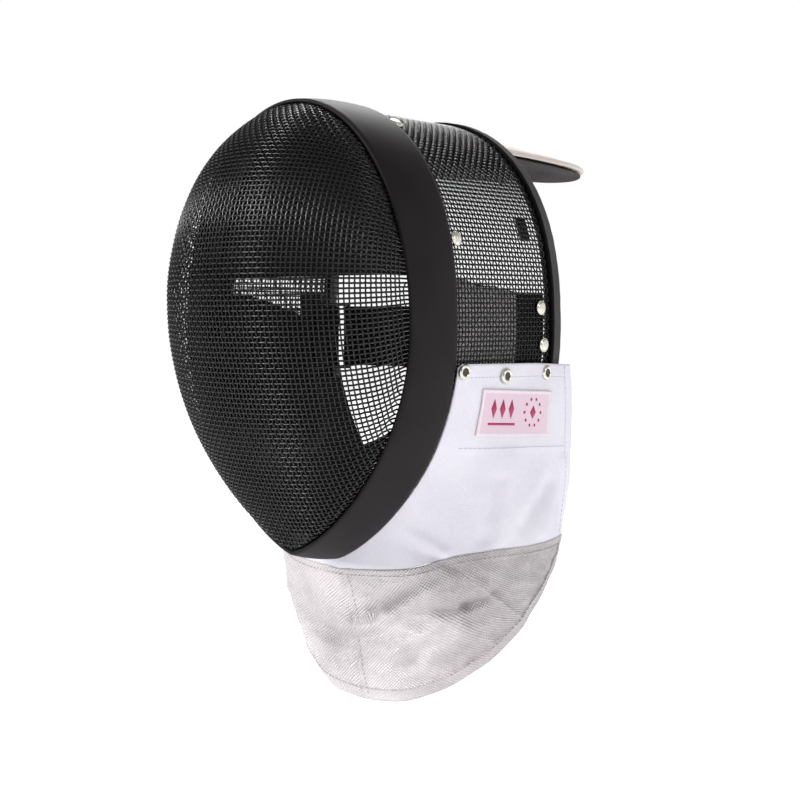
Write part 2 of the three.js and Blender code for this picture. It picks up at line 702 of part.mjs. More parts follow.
// Slide: a flat frame that stands behind the strap's end, at half a right angle
function slideFrame() {
  const outer = new THREE.Shape();
  const height = strapWidth + 2 * strapSlide.margin;
  const frame = (shape, margin) => {
    const [w, h] = [strapSlide.width - 2 * margin, height - 2 * margin];
    shape.moveTo(margin, margin).lineTo(margin + w, margin).lineTo(margin + w, margin + h).lineTo(margin, margin + h);
    return shape.closePath();
  };
  frame(outer, 0).holes.push(frame(new THREE.Path(), strapSlide.bar));
  return new THREE.ExtrudeGeometry(outer, { depth: strapSlide.bar, bevelEnabled: false }).rotateX(Math.PI / 2);
}
const slide = addPiece("strap_slide", slideFrame(), "slide");
slide.rotation.z = Math.PI / 4;
const slideAside = new THREE.Vector2(1, -1).normalize().multiplyScalar(strapWall / 2 + 2 * gap);
slide.position.set(
  slideOut.x + slideAside.x,
  slideOut.y + slideAside.y,
  zWaist + strapLevel - strapWidth - strapSlide.margin,
);
const foldEnd = slideOut.clone().addScaledVector(slideAlong, strapSlide.width - 2 * strapSlide.bar - strapSlide.slit);
addPiece(
  "strap_end",
  strapBand([[foldEnd.x, foldEnd.y], [slideOut.x, slideOut.y], [slideOut.x, yTabEnd - strapLap]]),
  "elastic",
);

export default mask;
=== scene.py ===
"""A fencing mask, dressed for rendering: woven wire, cloth bib, padding, trim and hardware."""

import math

import bmesh
import bpy
from mathutils import Matrix, Vector, noise


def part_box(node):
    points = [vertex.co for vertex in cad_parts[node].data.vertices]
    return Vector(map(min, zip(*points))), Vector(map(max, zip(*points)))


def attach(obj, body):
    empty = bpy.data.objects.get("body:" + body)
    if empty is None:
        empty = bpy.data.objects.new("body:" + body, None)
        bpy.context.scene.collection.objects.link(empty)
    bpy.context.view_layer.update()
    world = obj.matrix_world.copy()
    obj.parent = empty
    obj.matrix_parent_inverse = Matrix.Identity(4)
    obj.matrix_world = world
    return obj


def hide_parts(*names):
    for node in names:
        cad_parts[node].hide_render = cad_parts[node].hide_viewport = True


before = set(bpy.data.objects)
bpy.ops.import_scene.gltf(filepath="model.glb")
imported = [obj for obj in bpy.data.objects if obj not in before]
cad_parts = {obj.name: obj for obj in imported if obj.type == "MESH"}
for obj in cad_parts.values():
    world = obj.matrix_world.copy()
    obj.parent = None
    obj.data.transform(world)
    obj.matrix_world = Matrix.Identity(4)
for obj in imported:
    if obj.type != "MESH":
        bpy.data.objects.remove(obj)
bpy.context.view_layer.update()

MM = 0.001

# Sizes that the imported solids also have, in millimetres
GAP = 0.3
TRIM_WALL = 2.5
TRIM_WIDTH = 44
TRIM_CROWN = 1.2
Y_FRONT = -94
Y_TRIM = Y_FRONT + TRIM_WIDTH
HOOD_LENGTH = 107
Y_HOOD = Y_TRIM + HOOD_LENGTH
HOOD_FLARE = 4.5
HOOD_FALL = 2.2
HOOD_SKIRT = 42
MESH_INSET = 3.8
BINDING_WALL = 1.8
BINDING_WIDTH = 10.5
WAIST = -130.17
FRONT_RING = {"half": 102.5, "up": 147.5, "down": 150, "up_power": 2, "down_power": 2, "taper": 0.75}
REAR_RING = {"half": 104, "up": 148.6, "down": 158, "up_power": 2.4, "down_power": 2.2, "taper": 0.8}
DOME_DEPTH = 62.8
DOME_PROFILE = [
    (-1, 0), (-0.92, 0.095), (-0.79, 0.283), (-0.62, 0.493), (-0.42, 0.695), (-0.21, 0.84), (0, 0.95),
    (0.2, 1), (0.4, 0.95), (0.61, 0.815), (0.78, 0.6), (0.92, 0.28), (1, 0),
]
BIB_WALL = 1.5
BIB_DROP = 233.5
BIB_TOP = WAIST - 24.5
BIB_HALF = 107.46
BIB_LENGTH = 117
BIB_BACK = 0.44
BIB_SIDE = 100
BIB_END = 1 + BIB_BACK
BIB_LEAN = 3
# The bib's plan from its top, 0, to its lowest edge, 1, as shares of its sizes
BIB_DROPS = (0, 0.1, 0.244, 0.409, 0.5, 0.575, 0.623, 0.734, 0.824, 0.914, 1)
BIB_HALVES = (1, 0.985, 0.968, 0.964, 0.964, 0.964, 0.963, 0.95, 0.907, 0.843, 0.777)
BIB_CENTRES = (0.655, 0.653, 0.65, 0.64, 0.639, 0.638, 0.64, 0.645, 0.69, 0.78, 0.86)
BIB_REACHES = (0.64, 0.64, 0.64, 0.64, 0.638, 0.636, 0.6, 0.525, 0.545, 0.595, 0.62)
BIB_RUNS = (0.88, 0.99, 1.19, 1.45, 1.48, 1.44, 1.35, 1.17, 1.05, 1.02, 1)
BIB_CURL = {"depth": 20, "from": 0.1, "to": 0.6}
BIB_SEAM = [(0, 0.599), (0.22, 0.583), (0.4, 0.541), (0.57, 0.526), (1, 0.531)]
BIB_HEM = [
    (0, 1), (0.14, 0.99), (0.3, 0.947), (0.46, 0.872), (0.6, 0.783), (0.74, 0.702), (0.88, 0.625),
    (1, 0.558),
]
BIB_FOLDS = [(0.2, 0.09, 0.6), (0.42, 0.06, -1), (0.62, 0.07, 0.8), (0.84, 0.06, -0.7)]
FOLD_DEPTH = 2.2
PATCH = {"width": 70, "height": 30.5, "back": 25.5, "drop": 16.5, "slope": 4, "wall": 0.8}
TONGUE = {
    "half": 46, "length": 173, "sag": 18.5, "bend": 1.4, "arch": 14, "arch_tip": 2, "tip": 0.5,
    "round": 2.4, "wall": 5.2, "lining": 2,
}


# Small helpers
def mix(a, b, share):
    return a + (b - a) * share


def steps(count):
    return [i / count for i in range(count + 1)]


def clamp(value, low=0.0, high=1.0):
    return max(low, min(high, value))


def smooth(low, high, value):
    share = clamp((value - low) / (high - low))
    return share * share * (3 - 2 * share)


def last_true(test, near, far, halvings=30):
    """The last value on the way from near to far at which the test holds."""
    for _ in range(halvings):
        middle = (near + far) / 2
        if test(middle):
            near = middle
        else:
            far = middle
    return near


def lengths_along(points):
    """How far along the line of points each point lies."""
    lengths = [0.0]
    for a, b in zip(points, points[1:]):
        lengths.append(lengths[-1] + (b - a).length)
    return lengths


def curve_of(rows):
    """A smooth curve through the rows that never overshoots them."""
    slopes = [(b[1] - a[1]) / (b[0] - a[0]) for a, b in zip(rows, rows[1:])]
    tangents = []
    for i in range(len(rows)):
        before = slopes[max(i - 1, 0)]
        after = slopes[min(i, len(slopes) - 1)]
        tangents.append(0 if before * after <= 0 else 2 * before * after / (before + after))

    def at(value):
        x = clamp(value, rows[0][0], rows[-1][0])
        i = 0
        while i < len(rows) - 2 and rows[i + 1][0] < x:
            i += 1
        span = rows[i + 1][0] - rows[i][0]
        s = (x - rows[i][0]) / span
        start = rows[i][1] * (1 + 2 * s) * (1 - s) ** 2 + tangents[i] * span * s * (1 - s) ** 2
        return start + rows[i + 1][1] * s * s * (3 - 2 * s) + tangents[i + 1] * span * s * s * (s - 1)

    return at


# The ring, the hood and the dome
def ring_half(ring, level):
    share = min(1, abs(level) / (ring["up"] if level > 0 else ring["down"]))
    if level > 0:
        return ring["half"] * (1 - share ** ring["up_power"]) ** 0.5
    return ring["half"] * (1 - share ** ring["down_power"]) ** ring["taper"]


def ring_point(ring, turn, inset):
    def at(share):
        angle = share * 2 * math.pi
        rise = abs(math.cos(angle))
        side = abs(math.sin(angle))
        sign = math.copysign(1, math.sin(angle))
        if math.cos(angle) > 0:
            return Vector((ring["half"] * side * sign, ring["up"] * rise ** (2 / ring["up_power"])))
        level = -ring["down"] * rise ** (2 / ring["down_power"])
        return Vector((ring["half"] * side ** (2 * ring["taper"]) * sign, level))

    small = 0.004
    tangent = (at(turn + small) - at(turn - small)).normalized()
    return at(turn) + Vector((tangent.y, -tangent.x)) * inset


def band_point(turn, y, inset):
    share = (y - Y_FRONT) / TRIM_WIDTH
    point = ring_point(FRONT_RING, turn, inset).lerp(ring_point(REAR_RING, turn, inset), min(1, share))
    rearward = max(0, (y - Y_TRIM) / HOOD_LENGTH)
    flare = 1 + HOOD_FLARE / REAR_RING["half"] * rearward
    fall = HOOD_FALL * rearward * max(0, point.y / REAR_RING["up"]) ** 2
    return Vector((point.x * flare, y, WAIST + point.y - fall))


def turn_at_level(level):
    if level > 0:
        share = (level / REAR_RING["up"]) ** (REAR_RING["up_power"] / 2)
    else:
        share = -((-level / REAR_RING["down"]) ** (REAR_RING["down_power"] / 2))
    return math.acos(clamp(share, -1, 1)) / (2 * math.pi)


HOOD_TURN = turn_at_level(-HOOD_SKIRT)
depth_at = curve_of(DOME_PROFILE)
DOME_RING = dict(FRONT_RING)
for side in ("half", "up", "down"):
    DOME_RING[side] = FRONT_RING[side] - MESH_INSET + 0.2


def dome_point(x, level):
    half = max(ring_half(DOME_RING, level), 0.001)
    share = level / (DOME_RING["up"] if level > 0 else DOME_RING["down"])
    bulge = math.sqrt(max(0, 1 - (x / half) ** 2))
    return Vector((x, Y_FRONT - DOME_DEPTH * depth_at(share) * bulge, WAIST + level))


# The bib
half_at, centre_at, reach_at, run_at = (
    curve_of(list(zip(BIB_DROPS, shares))) for shares in (BIB_HALVES, BIB_CENTRES, BIB_REACHES, BIB_RUNS)
)
seam_at = curve_of(BIB_SEAM)
hem_at = curve_of(BIB_HEM)


def bib_plan(z):
    drop = (BIB_TOP - z) / BIB_DROP
    half = BIB_HALF * half_at(drop)
    centre = Y_TRIM + GAP + BIB_WALL / 2 + BIB_LENGTH * centre_at(drop)
    on_ring = max(0, ring_half(REAR_RING, z - WAIST) - TRIM_WALL / 2) / half
    reach = BIB_LENGTH * reach_at(drop) / math.sqrt(1 - on_ring**2)
    start = math.asin(on_ring) * 2 / math.pi
    run = BIB_SIDE * run_at(drop)
    return {"drop": drop, "half": half, "centre": centre, "reach": reach, "run": run, "start": start}


def bib_ripple(turn, drop):
    share = turn / BIB_END
    ripple = sum(depth * math.exp(-(((share - at) / width) ** 2)) for at, width, depth in BIB_FOLDS)
    return FOLD_DEPTH * ripple * smooth(0.3, 1, drop)


def bib_point(around, z, out=0.0):
    plan = bib_plan(z)
    turn = abs(around)
    angle = min(turn, 1) * math.pi / 2
    back = max(0, turn - 1) * plan["run"]
    push = out + bib_ripple(turn, plan["drop"])
    curl = BIB_CURL["depth"] * smooth(BIB_CURL["from"], BIB_CURL["to"], plan["drop"])
    x = (plan["half"] + push) * math.sin(angle) - curl * (max(0, turn - 1) / BIB_BACK) ** 2
    y = plan["centre"] - (plan["reach"] + push) * math.cos(angle) + back
    return Vector((math.copysign(x, around), y, z))


def z_at_drop(drop):
    return BIB_TOP - BIB_DROP * drop


WING_START = bib_plan(BIB_TOP)["start"]


def ring_edge(turn):
    """Where the bib's upper edge lies: along the wing's top, or under the trim band."""
    if WING_START <= turn:
        return BIB_TOP - BIB_LEAN * (turn - WING_START) / (BIB_END - WING_START)
    lowest = WAIST - REAR_RING["down"]
    return last_true(lambda z: bib_plan(z)["start"] <= turn, lowest, BIB_TOP)


def bib_turn(back, z):
    plan = bib_plan(z)
    y = Y_TRIM + back
    if y >= plan["centre"]:
        return 1 + (y - plan["centre"]) / plan["run"]
    return math.acos(clamp((plan["centre"] - y) / plan["reach"])) * 2 / math.pi


# Making pieces
def finish_piece(name, mesh, material, node, shade=True):
    piece = bpy.data.objects.new(name, mesh)
    bpy.context.scene.collection.objects.link(piece)
    piece.data.materials.clear()
    piece.data.materials.append(material)
    for face in piece.data.polygons:
        face.use_smooth = shade
    if node:
        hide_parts(*([node] if isinstance(node, str) else node))
    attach(piece, "root")
    return piece


def mesh_of(bm, name):
    mesh = bpy.data.meshes.new(name)
    bm.to_mesh(mesh)
    bm.free()
    return mesh


def fill_rims(bm):
    rims = [edge for edge in bm.edges if edge.is_boundary]
    bmesh.ops.holes_fill(bm, edges=rims, sides=0)


def cloth_grid(columns, rows):
    """A flat grid whose UV map, named cut, runs from 0 to 1 both ways."""
    bm = bmesh.new()
    bm.loops.layers.uv.new("cut")
    bmesh.ops.create_grid(bm, x_segments=columns, y_segments=rows, size=0.5, calc_uvs=True)
    return bm


def shell(name, columns, rows, place, material, node, wall, inside=None):
    """A sheet of columns by rows with a wall, each corner put where place(u, v) says."""
    bm = cloth_grid(columns, rows)
    for vertex in bm.verts:
        u = vertex.co.x + 0.5
        v = vertex.co.y + 0.5
        vertex.co = place(u, v) * MM
    bmesh.ops.recalc_face_normals(bm, faces=bm.faces)
    piece = finish_piece(name, mesh_of(bm, name), material, node)
    thick = piece.modifiers.new("wall", "SOLIDIFY")
    thick.thickness = wall * MM
    thick.offset = 0
    thick.use_even_offset = False
    if inside:
        piece.data.materials.append(inside)
        thick.material_offset = 1
    return piece


def swept(name, around, profile, place, material, node, closed=True):
    """A closed profile carried round: place(u, inset, y) puts a profile point, u runs along the sweep."""
    count = len(profile)
    bm = cloth_grid(around, count)
    for vertex in bm.verts:
        u = vertex.co.x + 0.5
        k = round((vertex.co.y + 0.5) * count) % count
        inset, y = profile[k]
        vertex.co = place(u, inset, y) * MM
    bmesh.ops.remove_doubles(bm, verts=bm.verts, dist=0.000005)
    if not closed:
        fill_rims(bm)
    bmesh.ops.recalc_face_normals(bm, faces=bm.faces)
    return finish_piece(name, mesh_of(bm, name), material, node)


def settled_mesh(piece):
    """The piece's mesh with its modifiers or bevel applied."""
    return bpy.data.meshes.new_from_object(piece.evaluated_get(bpy.context.evaluated_depsgraph_get()))


def wires(name, lines, radius, material, node):
    """Round wires along lines of points in millimetres."""
    curve = bpy.data.curves.new(name, "CURVE")
    curve.dimensions = "3D"
    curve.bevel_depth = radius * MM
    curve.bevel_resolution = 0
    curve.use_fill_caps = True
    for line in lines:
        spline = curve.splines.new("POLY")
        spline.points.add(len(line) - 1)
        for point, place in zip(spline.points, line):
            point.co = (*(place * MM), 1)
    made = bpy.data.objects.new(name + "_route", curve)
    bpy.context.scene.collection.objects.link(made)
    bpy.context.view_layer.update()
    mesh = settled_mesh(made)
    mesh.name = name
    bpy.data.objects.remove(made)
    bpy.data.curves.remove(curve)
    return finish_piece(name, mesh, material, node)


# Materials
def linear(hexcode):
    values = [int(hexcode[i : i + 2], 16) / 255 for i in (0, 2, 4)]
    return tuple(v / 12.92 if v <= 0.04045 else ((v + 0.055) / 1.055) ** 2.4 for v in values) + (1.0,)


def new_material(name):
    material = bpy.data.materials.new(name)
    material.use_nodes = True
    return material, material.node_tree, material.node_tree.nodes["Principled BSDF"]


def add(tree, kind, settings=None, **links):
    """Adds one node: settings are its own, links name an input and what feeds it or its value."""
    node = tree.nodes.new(kind)
    for key, value in (settings or {}).items():
        setattr(node, key, value)
    for key, value in links.items():
        numbered = key[0] == "i" and key[1:].isdigit()
        socket = node.inputs[int(key[1:]) if numbered else key.replace("_", " ")]
        if hasattr(value, "is_linked"):
            tree.links.new(value, socket)
        else:
            socket.default_value = value
    return node


def reckon(tree, operation, *values):
    """A math node of the given operation on up to three values."""
    links = {f"i{k}": value for k, value in enumerate(values)}
    return add(tree, "ShaderNodeMath", {"operation": operation}, **links).outputs[0]


def clouds(tree, place, scale, detail):
    return add(tree, "ShaderNodeTexNoise", Vector=place, Scale=scale, Detail=detail).outputs["Fac"]


def put(shader, **values):
    """Sets the shader's own sockets, named with underscores for spaces."""
    for key, value in values.items():
        shader.inputs[key.replace("_", " ")].default_value = value


def ramp(tree, source, stops):
    """A colour ramp from (place, hex) stops."""
    node = add(tree, "ShaderNodeValToRGB", Fac=source)
    for _ in stops[2:]:
        node.color_ramp.elements.new(0.5)
    for element, (place, colour) in zip(node.color_ramp.elements, stops):
        element.position = place
        element.color = linear(colour)
    return node.outputs["Color"]


def bumped(tree, shader, height, strength, distance, below=None):
    node = add(tree, "ShaderNodeBump", Height=height, Strength=strength, Distance=distance * MM)
    if below is not None:
        tree.links.new(below, node.inputs["Normal"])
    tree.links.new(node.outputs["Normal"], shader.inputs["Normal"])
    return node.outputs["Normal"]


def coated_wire():
    """Steel wire with a thin black coating: dark and half glossy, with a slightly uneven black."""
    material, tree, shader = new_material("black coated steel wire")
    place = add(tree, "ShaderNodeTexCoord").outputs["Object"]
    grain = clouds(tree, place, 60.0, 3.0)
    colour = ramp(tree, grain, [(0.35, "070607"), (0.65, "131112")])
    tree.links.new(colour, shader.inputs["Base Color"])
    put(shader, Metallic=0.3, Roughness=0.27, Specular_IOR_Level=0.55)
    return material


def trim_sheet():
    """Calendered vinyl sheet: plum black with a soft satin sheen and a fine leather-like grain."""
    material, tree, shader = new_material("satin vinyl sheet")
    place = add(tree, "ShaderNodeTexCoord").outputs["Object"]
    cloud = clouds(tree, place, 35.0, 4.0)
    colour = ramp(tree, cloud, [(0.3, "120d0f"), (0.7, "1a1416")])
    tree.links.new(colour, shader.inputs["Base Color"])
    put(shader, Roughness=0.58, Specular_IOR_Level=0.16)
    grain = add(tree, "ShaderNodeTexVoronoi", Vector=place, Scale=900.0).outputs["Distance"]
    waves = clouds(tree, place, 45.0, 2.0)
    soft = bumped(tree, shader, waves, 0.35, 0.6)
    bumped(tree, shader, grain, 0.25, 0.12, soft)
    return material


def weave_heights(tree, pitch, source):
    """Crossed threads as a height: the pitch is in the units of the source vector."""
    split = add(tree, "ShaderNodeSeparateXYZ", Vector=source).outputs
    across, down = (
        reckon(tree, "SINE", reckon(tree, "MULTIPLY", split[axis], 2 * math.pi / pitch)) for axis in (0, 1)
    )
    return reckon(tree, "MULTIPLY", across, down)


def cloth(name, pale, dark, thread, bump, roughness, metallic=0.0, crumple=0.6, gloss=0.5):
    """Woven cloth: threads cross at the given spacing in millimetres, drawn from the cut cloth's UV."""
    material, tree, shader = new_material(name)
    place = add(tree, "ShaderNodeTexCoord").outputs["Object"]
    uv = add(tree, "ShaderNodeUVMap", {"uv_map": "cut"}).outputs["UV"]
    threads = weave_heights(tree, thread * 2, uv)
    shade = reckon(tree, "MULTIPLY_ADD", threads, 0.22, clouds(tree, place, 14.0, 5.0))
    shade = reckon(tree, "MULTIPLY_ADD", clouds(tree, place, 420.0, 2.0), 0.25, shade)
    colour = ramp(tree, shade, [(0.3, dark), (0.85, pale)])
    tree.links.new(colour, shader.inputs["Base Color"])
    put(shader, Roughness=roughness, Metallic=metallic, Specular_IOR_Level=gloss)
    soft = bumped(tree, shader, clouds(tree, place, 18.0, 3.0), crumple, 3.0)
    bumped(tree, shader, threads, bump, thread * 0.4, soft)
    return material


def knit_pad(name, pale, dark, roughness):
    """Brushed knit, felt or foam: dull, softly mottled, with small loops."""
    material, tree, shader = new_material(name)
    place = add(tree, "ShaderNodeTexCoord").outputs["Object"]
    loops = add(tree, "ShaderNodeTexVoronoi", Vector=place, Scale=650.0).outputs["Distance"]
    cloud = clouds(tree, place, 30.0, 4.0)
    colour = ramp(tree, cloud, [(0.3, dark), (0.7, pale)])
    tree.links.new(colour, shader.inputs["Base Color"])
    put(shader, Roughness=roughness, Specular_IOR_Level=0.15)
    bumped(tree, shader, loops, 0.5, 0.5)
    return material


def nickel_plate():
    """Nickel-plated brass: bright, warm, with fine handling marks."""
    material, tree, shader = new_material("nickel-plated brass")
    place = add(tree, "ShaderNodeTexCoord").outputs["Object"]
    marks = clouds(tree, place, 500.0, 4.0)
    colour = ramp(tree, marks, [(0.3, "cfccbf"), (0.7, "e4e2da")])
    tree.links.new(colour, shader.inputs["Base Color"])
    put(shader, Metallic=1.0)
    rough = add(tree, "ShaderNodeMapRange", Value=marks, To_Min=0.16, To_Max=0.34).outputs["Result"]
    tree.links.new(rough, shader.inputs["Roughness"])
    return material


def plain_plastic(name, colour, roughness):
    """A smooth hard finish, such as moulded nylon or dried ink, with a faint mottled gloss."""
    material, tree, shader = new_material(name)
    place = add(tree, "ShaderNodeTexCoord").outputs["Object"]
    cloud = clouds(tree, place, 120.0, 3.0)
    put(shader, Base_Color=linear(colour))
    rough = add(tree, "ShaderNodeMapRange", Value=cloud, To_Min=roughness - 0.08, To_Max=roughness + 0.1)
    tree.links.new(rough.outputs["Result"], shader.inputs["Roughness"])
    bumped(tree, shader, cloud, 0.1, 0.2)
    return material


WIRE = coated_wire()
TRIM = trim_sheet()
TAPE = cloth("woven cotton tape", "565354", "3f3c3d", 0.9, 0.5, 0.85, crumple=0.2, gloss=0.2)
# The near-black tape is painted shade along the binding's front edge, where the tape meets the wire mesh.
TAPE_PAINTED_SHADE_STRIP = cloth("painted shade along the tape's front edge", "151314", "0b0a0b", 0.9, 0.5, 0.9, crumple=0.1, gloss=0.1)
BIB_CLOTH = cloth("white twill", "e6e4ec", "cfccd8", 0.8, 0.25, 0.9, crumple=0.35, gloss=0.3)
LAME = cloth("conductive metal weave", "e2dcde", "a8a1a4", 1.3, 0.8, 0.42, metallic=0.45, crumple=1.0)
PATCH_CLOTH = cloth("pink satin patch", "e2ccd8", "d3bcc9", 0.7, 0.2, 0.8, crumple=0.15, gloss=0.3)
PATCH_EDGE = cloth("pale overlocked edging", "f0e6ec", "dccbd5", 0.6, 0.5, 0.85, crumple=0.15)
CREAM = cloth("cream coated cloth", "d9cfc8", "c4b8b1", 0.9, 0.2, 0.6, crumple=0.25)
FELT = knit_pad("grey felted lining", "423e3f", "302d2e", 0.95)
KNIT = knit_pad("black padded knit", "1b1819", "0f0d0e", 0.95)
BACKING = knit_pad("grey foam backing", "efeaec", "d3cdcf", 0.95)
# The inner face of the bib is coloured near black.
BIB_INNER_FACE = cloth("near-black inner face of the bib", "1a1819", "100f10", 0.9, 0.4, 0.95, crumple=0.3, gloss=0.1)
ELASTIC = cloth("black woven elastic", "1c191a", "0e0c0d", 1.2, 0.6, 0.85, crumple=0.05, gloss=0.2)
THREAD = cloth("white sewing thread", "dcdae2", "bcb9c4", 0.5, 0.4, 0.9, crumple=0.0)
GREY_THREAD = cloth("grey sewing thread", "bdb7b9", "a09a9c", 0.5, 0.4, 0.8, crumple=0.0)
NICKEL = nickel_plate()
# The dark colour in a snap's hollow is a painted dark reflection of the surroundings.
SNAP_PAINTED_DARK_REFLECTION = plain_plastic("painted dark reflection in the hollow of a snap", "33291c", 0.35)
NYLON = plain_plastic("moulded black nylon", "0f0f10", 0.35)
PRINT = plain_plastic("crimson print ink", "a8325e", 0.6)


def cut_map(piece, width, height):
    """The UV map named cut, in millimetres of the flat cloth."""
    for corner in piece.data.uv_layers["cut"].data:
        corner.uv = (corner.uv[0] * width, corner.uv[1] * height)


# Woven wire: each wire passes over one crossing wire and under the next
WIRE_RADIUS = 0.66
WIRE_LIFT = 0.58
WIRE_PITCH = 3.3
WIRE_TUCK = 7
NOSE_LEVEL = 0.2 * DOME_RING["up"]
RAYS = 180
RAY_REACH = 220.0  # further than the rim lies
RAY_SHARES = [math.sin(share * math.pi / 2) for share in steps(64)]  # closer where the dome is steep
WIRES_ACROSS = 48  # to each side of the nose
WIRES_UP = 62  # above and below the nose
RIM_SHARE = 0.9995  # the last crossing lies just inside the rim


def inside_rim(x, level):
    return -DOME_RING["down"] < level < DOME_RING["up"] and abs(x) < ring_half(DOME_RING, level)


def dome_rays():
    """For rays from the nose to the rim: how far the rim is, and the length of surface on the way."""
    rays = []
    for k in range(RAYS):
        angle = k * 2 * math.pi / RAYS
        way = Vector((math.cos(angle), math.sin(angle)))
        reach = last_true(lambda far: inside_rim(way.x * far, NOSE_LEVEL + way.y * far), 0.0, RAY_REACH)
        places = []
        for share in RAY_SHARES:
            places.append(dome_point(way.x * reach * share, NOSE_LEVEL + way.y * reach * share))
        rays.append((reach, lengths_along(places)))
    return rays


def face_wires():
    """The flat mesh laid over the dome: it keeps its lengths from the nose and closes up sideways."""
    rays = dome_rays()

    def share_along(lengths, length):
        if length >= lengths[-1]:
            return length / lengths[-1]
        k = next(i for i, reached in enumerate(lengths) if reached > length)
        within = (length - lengths[k - 1]) / (lengths[k] - lengths[k - 1])
        return mix(RAY_SHARES[k - 1], RAY_SHARES[k], within)

    def laid(a, b):
        """Where a place of the flat mesh comes to lie: x, level and the share of the way to the rim."""
        angle = math.atan2(b, a) % (2 * math.pi)
        k = angle * RAYS / (2 * math.pi)
        reach_a, lengths_a = rays[int(k) % RAYS]
        reach_b, lengths_b = rays[(int(k) + 1) % RAYS]
        length = math.hypot(a, b)
        share = mix(share_along(lengths_a, length), share_along(lengths_b, length), k % 1)
        reach = mix(reach_a, reach_b, k % 1) * share
        return reach * math.cos(angle), NOSE_LEVEL + reach * math.sin(angle), share

    def lifted(a, b, over):
        x, level, _ = laid(a, b)
        small = 0.4
        side = dome_point(x + small, level) - dome_point(x - small, level)
        rise = dome_point(x, level + small) - dome_point(x, level - small)
        normal = side.cross(rise)
        if normal.length < 1e-6 or abs(x) > ring_half(DOME_RING, level) - 1.2:
            normal = Vector((x / 100, -0.4, level / 147))
        return dome_point(x, level) + normal.normalized() * (WIRE_LIFT if over else -WIRE_LIFT)

    def tucked(place, inner, outer):
        """The wire's end where it meets the rim between two places, bent back under the trim."""
        end = last_true(lambda j: laid(*place(j))[2] < 1, inner, outer, 20)
        x, level, _ = laid(*place(end))
        return [Vector((x, Y_FRONT + back, WAIST + level)) for back in (0.5, WIRE_TUCK)]

    def wire(place, k, parity):
        spots = [j for j in range(-WIRES_UP, WIRES_UP + 1) if laid(*place(j))[2] < RIM_SHARE]
        if len(spots) < 2:
            return []
        line = [lifted(*place(j), (j + k) % 2 == parity) for j in spots]
        first, last = spots[0], spots[-1]
        return list(reversed(tucked(place, first, first - 1))) + line + tucked(place, last, last + 1)

    across = range(-WIRES_ACROSS, WIRES_ACROSS + 1)
    up = range(-WIRES_UP, WIRES_UP + 1)
    uprights = [wire(lambda j: (k * WIRE_PITCH, j * WIRE_PITCH), k, 0) for k in across]
    levels = [wire(lambda j: (j * WIRE_PITCH, k * WIRE_PITCH), k, 1) for k in up]
    return [line for line in uprights if line], [line for line in levels if line]


upright_wires, level_wires = face_wires()
wires("face_wires_upright", upright_wires, WIRE_RADIUS, WIRE, "front_mesh")
wires("face_wires_level", level_wires, WIRE_RADIUS, WIRE, "front_mesh")


HOOD_PITCH = 3.1
HOOD_STEPS = 900


def hood_wires():
    turns = [mix(-HOOD_TURN, HOOD_TURN, share) for share in steps(HOOD_STEPS)]
    lengths = lengths_along([band_point(turn, Y_TRIM, MESH_INSET) for turn in turns])
    marks = []
    k = 0
    for share in steps(round(lengths[-1] / HOOD_PITCH)):
        while lengths[k + 1] < share * lengths[-1] - 1e-6:
            k += 1
        within = (share * lengths[-1] - lengths[k]) / (lengths[k + 1] - lengths[k])
        marks.append(mix(turns[k], turns[k + 1], within))
    rows = round((HOOD_LENGTH + WIRE_TUCK) / HOOD_PITCH)
    depths = [mix(Y_TRIM - WIRE_TUCK, Y_HOOD - 0.5, share) for share in steps(rows)]

    def woven(i, j, parity):
        over = (i + j) % 2 == parity
        return band_point(marks[i], depths[j], MESH_INSET + (-WIRE_LIFT if over else WIRE_LIFT))

    ways = [[woven(i, j, 0) for j in range(len(depths))] for i in range(len(marks))]
    rounds = [[woven(i, j, 1) for i in range(len(marks))] for j in range(len(depths))]
    return ways + rounds


wires("hood_wires", hood_wires(), WIRE_RADIUS, WIRE, "side_mesh")


# Trim band: a sheet with rounded lips and a slight swell
def trim_profile():
    lip = TRIM_WALL / 2
    outer, inner = [], []
    for share in steps(14):
        swell = TRIM_CROWN * 4 * share * (1 - share)
        y = mix(Y_FRONT + lip * 0.6, Y_TRIM - lip * 0.6, share)
        outer.append((-swell, y))
        inner.append((TRIM_WALL - swell, y))
    front = [(TRIM_WALL * 0.72, Y_FRONT + 0.15), (TRIM_WALL * 0.28, Y_FRONT + 0.15)]
    rear = [(TRIM_WALL * 0.28, Y_TRIM - 0.15), (TRIM_WALL * 0.72, Y_TRIM - 0.15)]
    return outer + rear + list(reversed(inner)) + front


def on_trim(u, inset, y):
    return band_point(u % 1.0, y, inset)


swept("trim_band", 288, trim_profile(), on_trim, TRIM, "front_trim")


# Rear binding: tape folded over the hood's edge, a little wavy where it is sewn
PAINTED_SHADE_STRIP_WIDTH = 4.4  # width of the painted shade strip along the tape's front edge, where it meets the mesh


def binding_profile():
    leg_out = MESH_INSET - 1 - GAP - BINDING_WALL
    leg_in = MESH_INSET + 1 + GAP
    y_end = Y_HOOD + GAP + BINDING_WALL
    y_leg = y_end - BINDING_WIDTH
    y_base = Y_HOOD + GAP
    outer = [(leg_out + 0.5, y_leg), (leg_out, y_leg + 0.6)]
    outer += [(leg_out, mix(y_leg + 0.6, y_end - 2, share)) for share in (0.2, 0.4, 0.6, 0.8, 1)]
    outer += [(leg_out + 0.5, y_end - 0.6), (leg_out + 1.6, y_end)]
    outer += [(leg_in + 0.2, y_end), (leg_in + 1.3, y_end - 0.6)]
    deep = leg_in + BINDING_WALL
    fold = leg_out + BINDING_WALL
    inner = [(deep, y_end - 2), (deep, y_leg + 0.6), (deep - 0.5, y_leg)]
    inner += [(leg_in, y_leg + 0.3), (leg_in, y_base), (fold, y_base), (fold, y_leg + 0.3)]
    return outer + inner


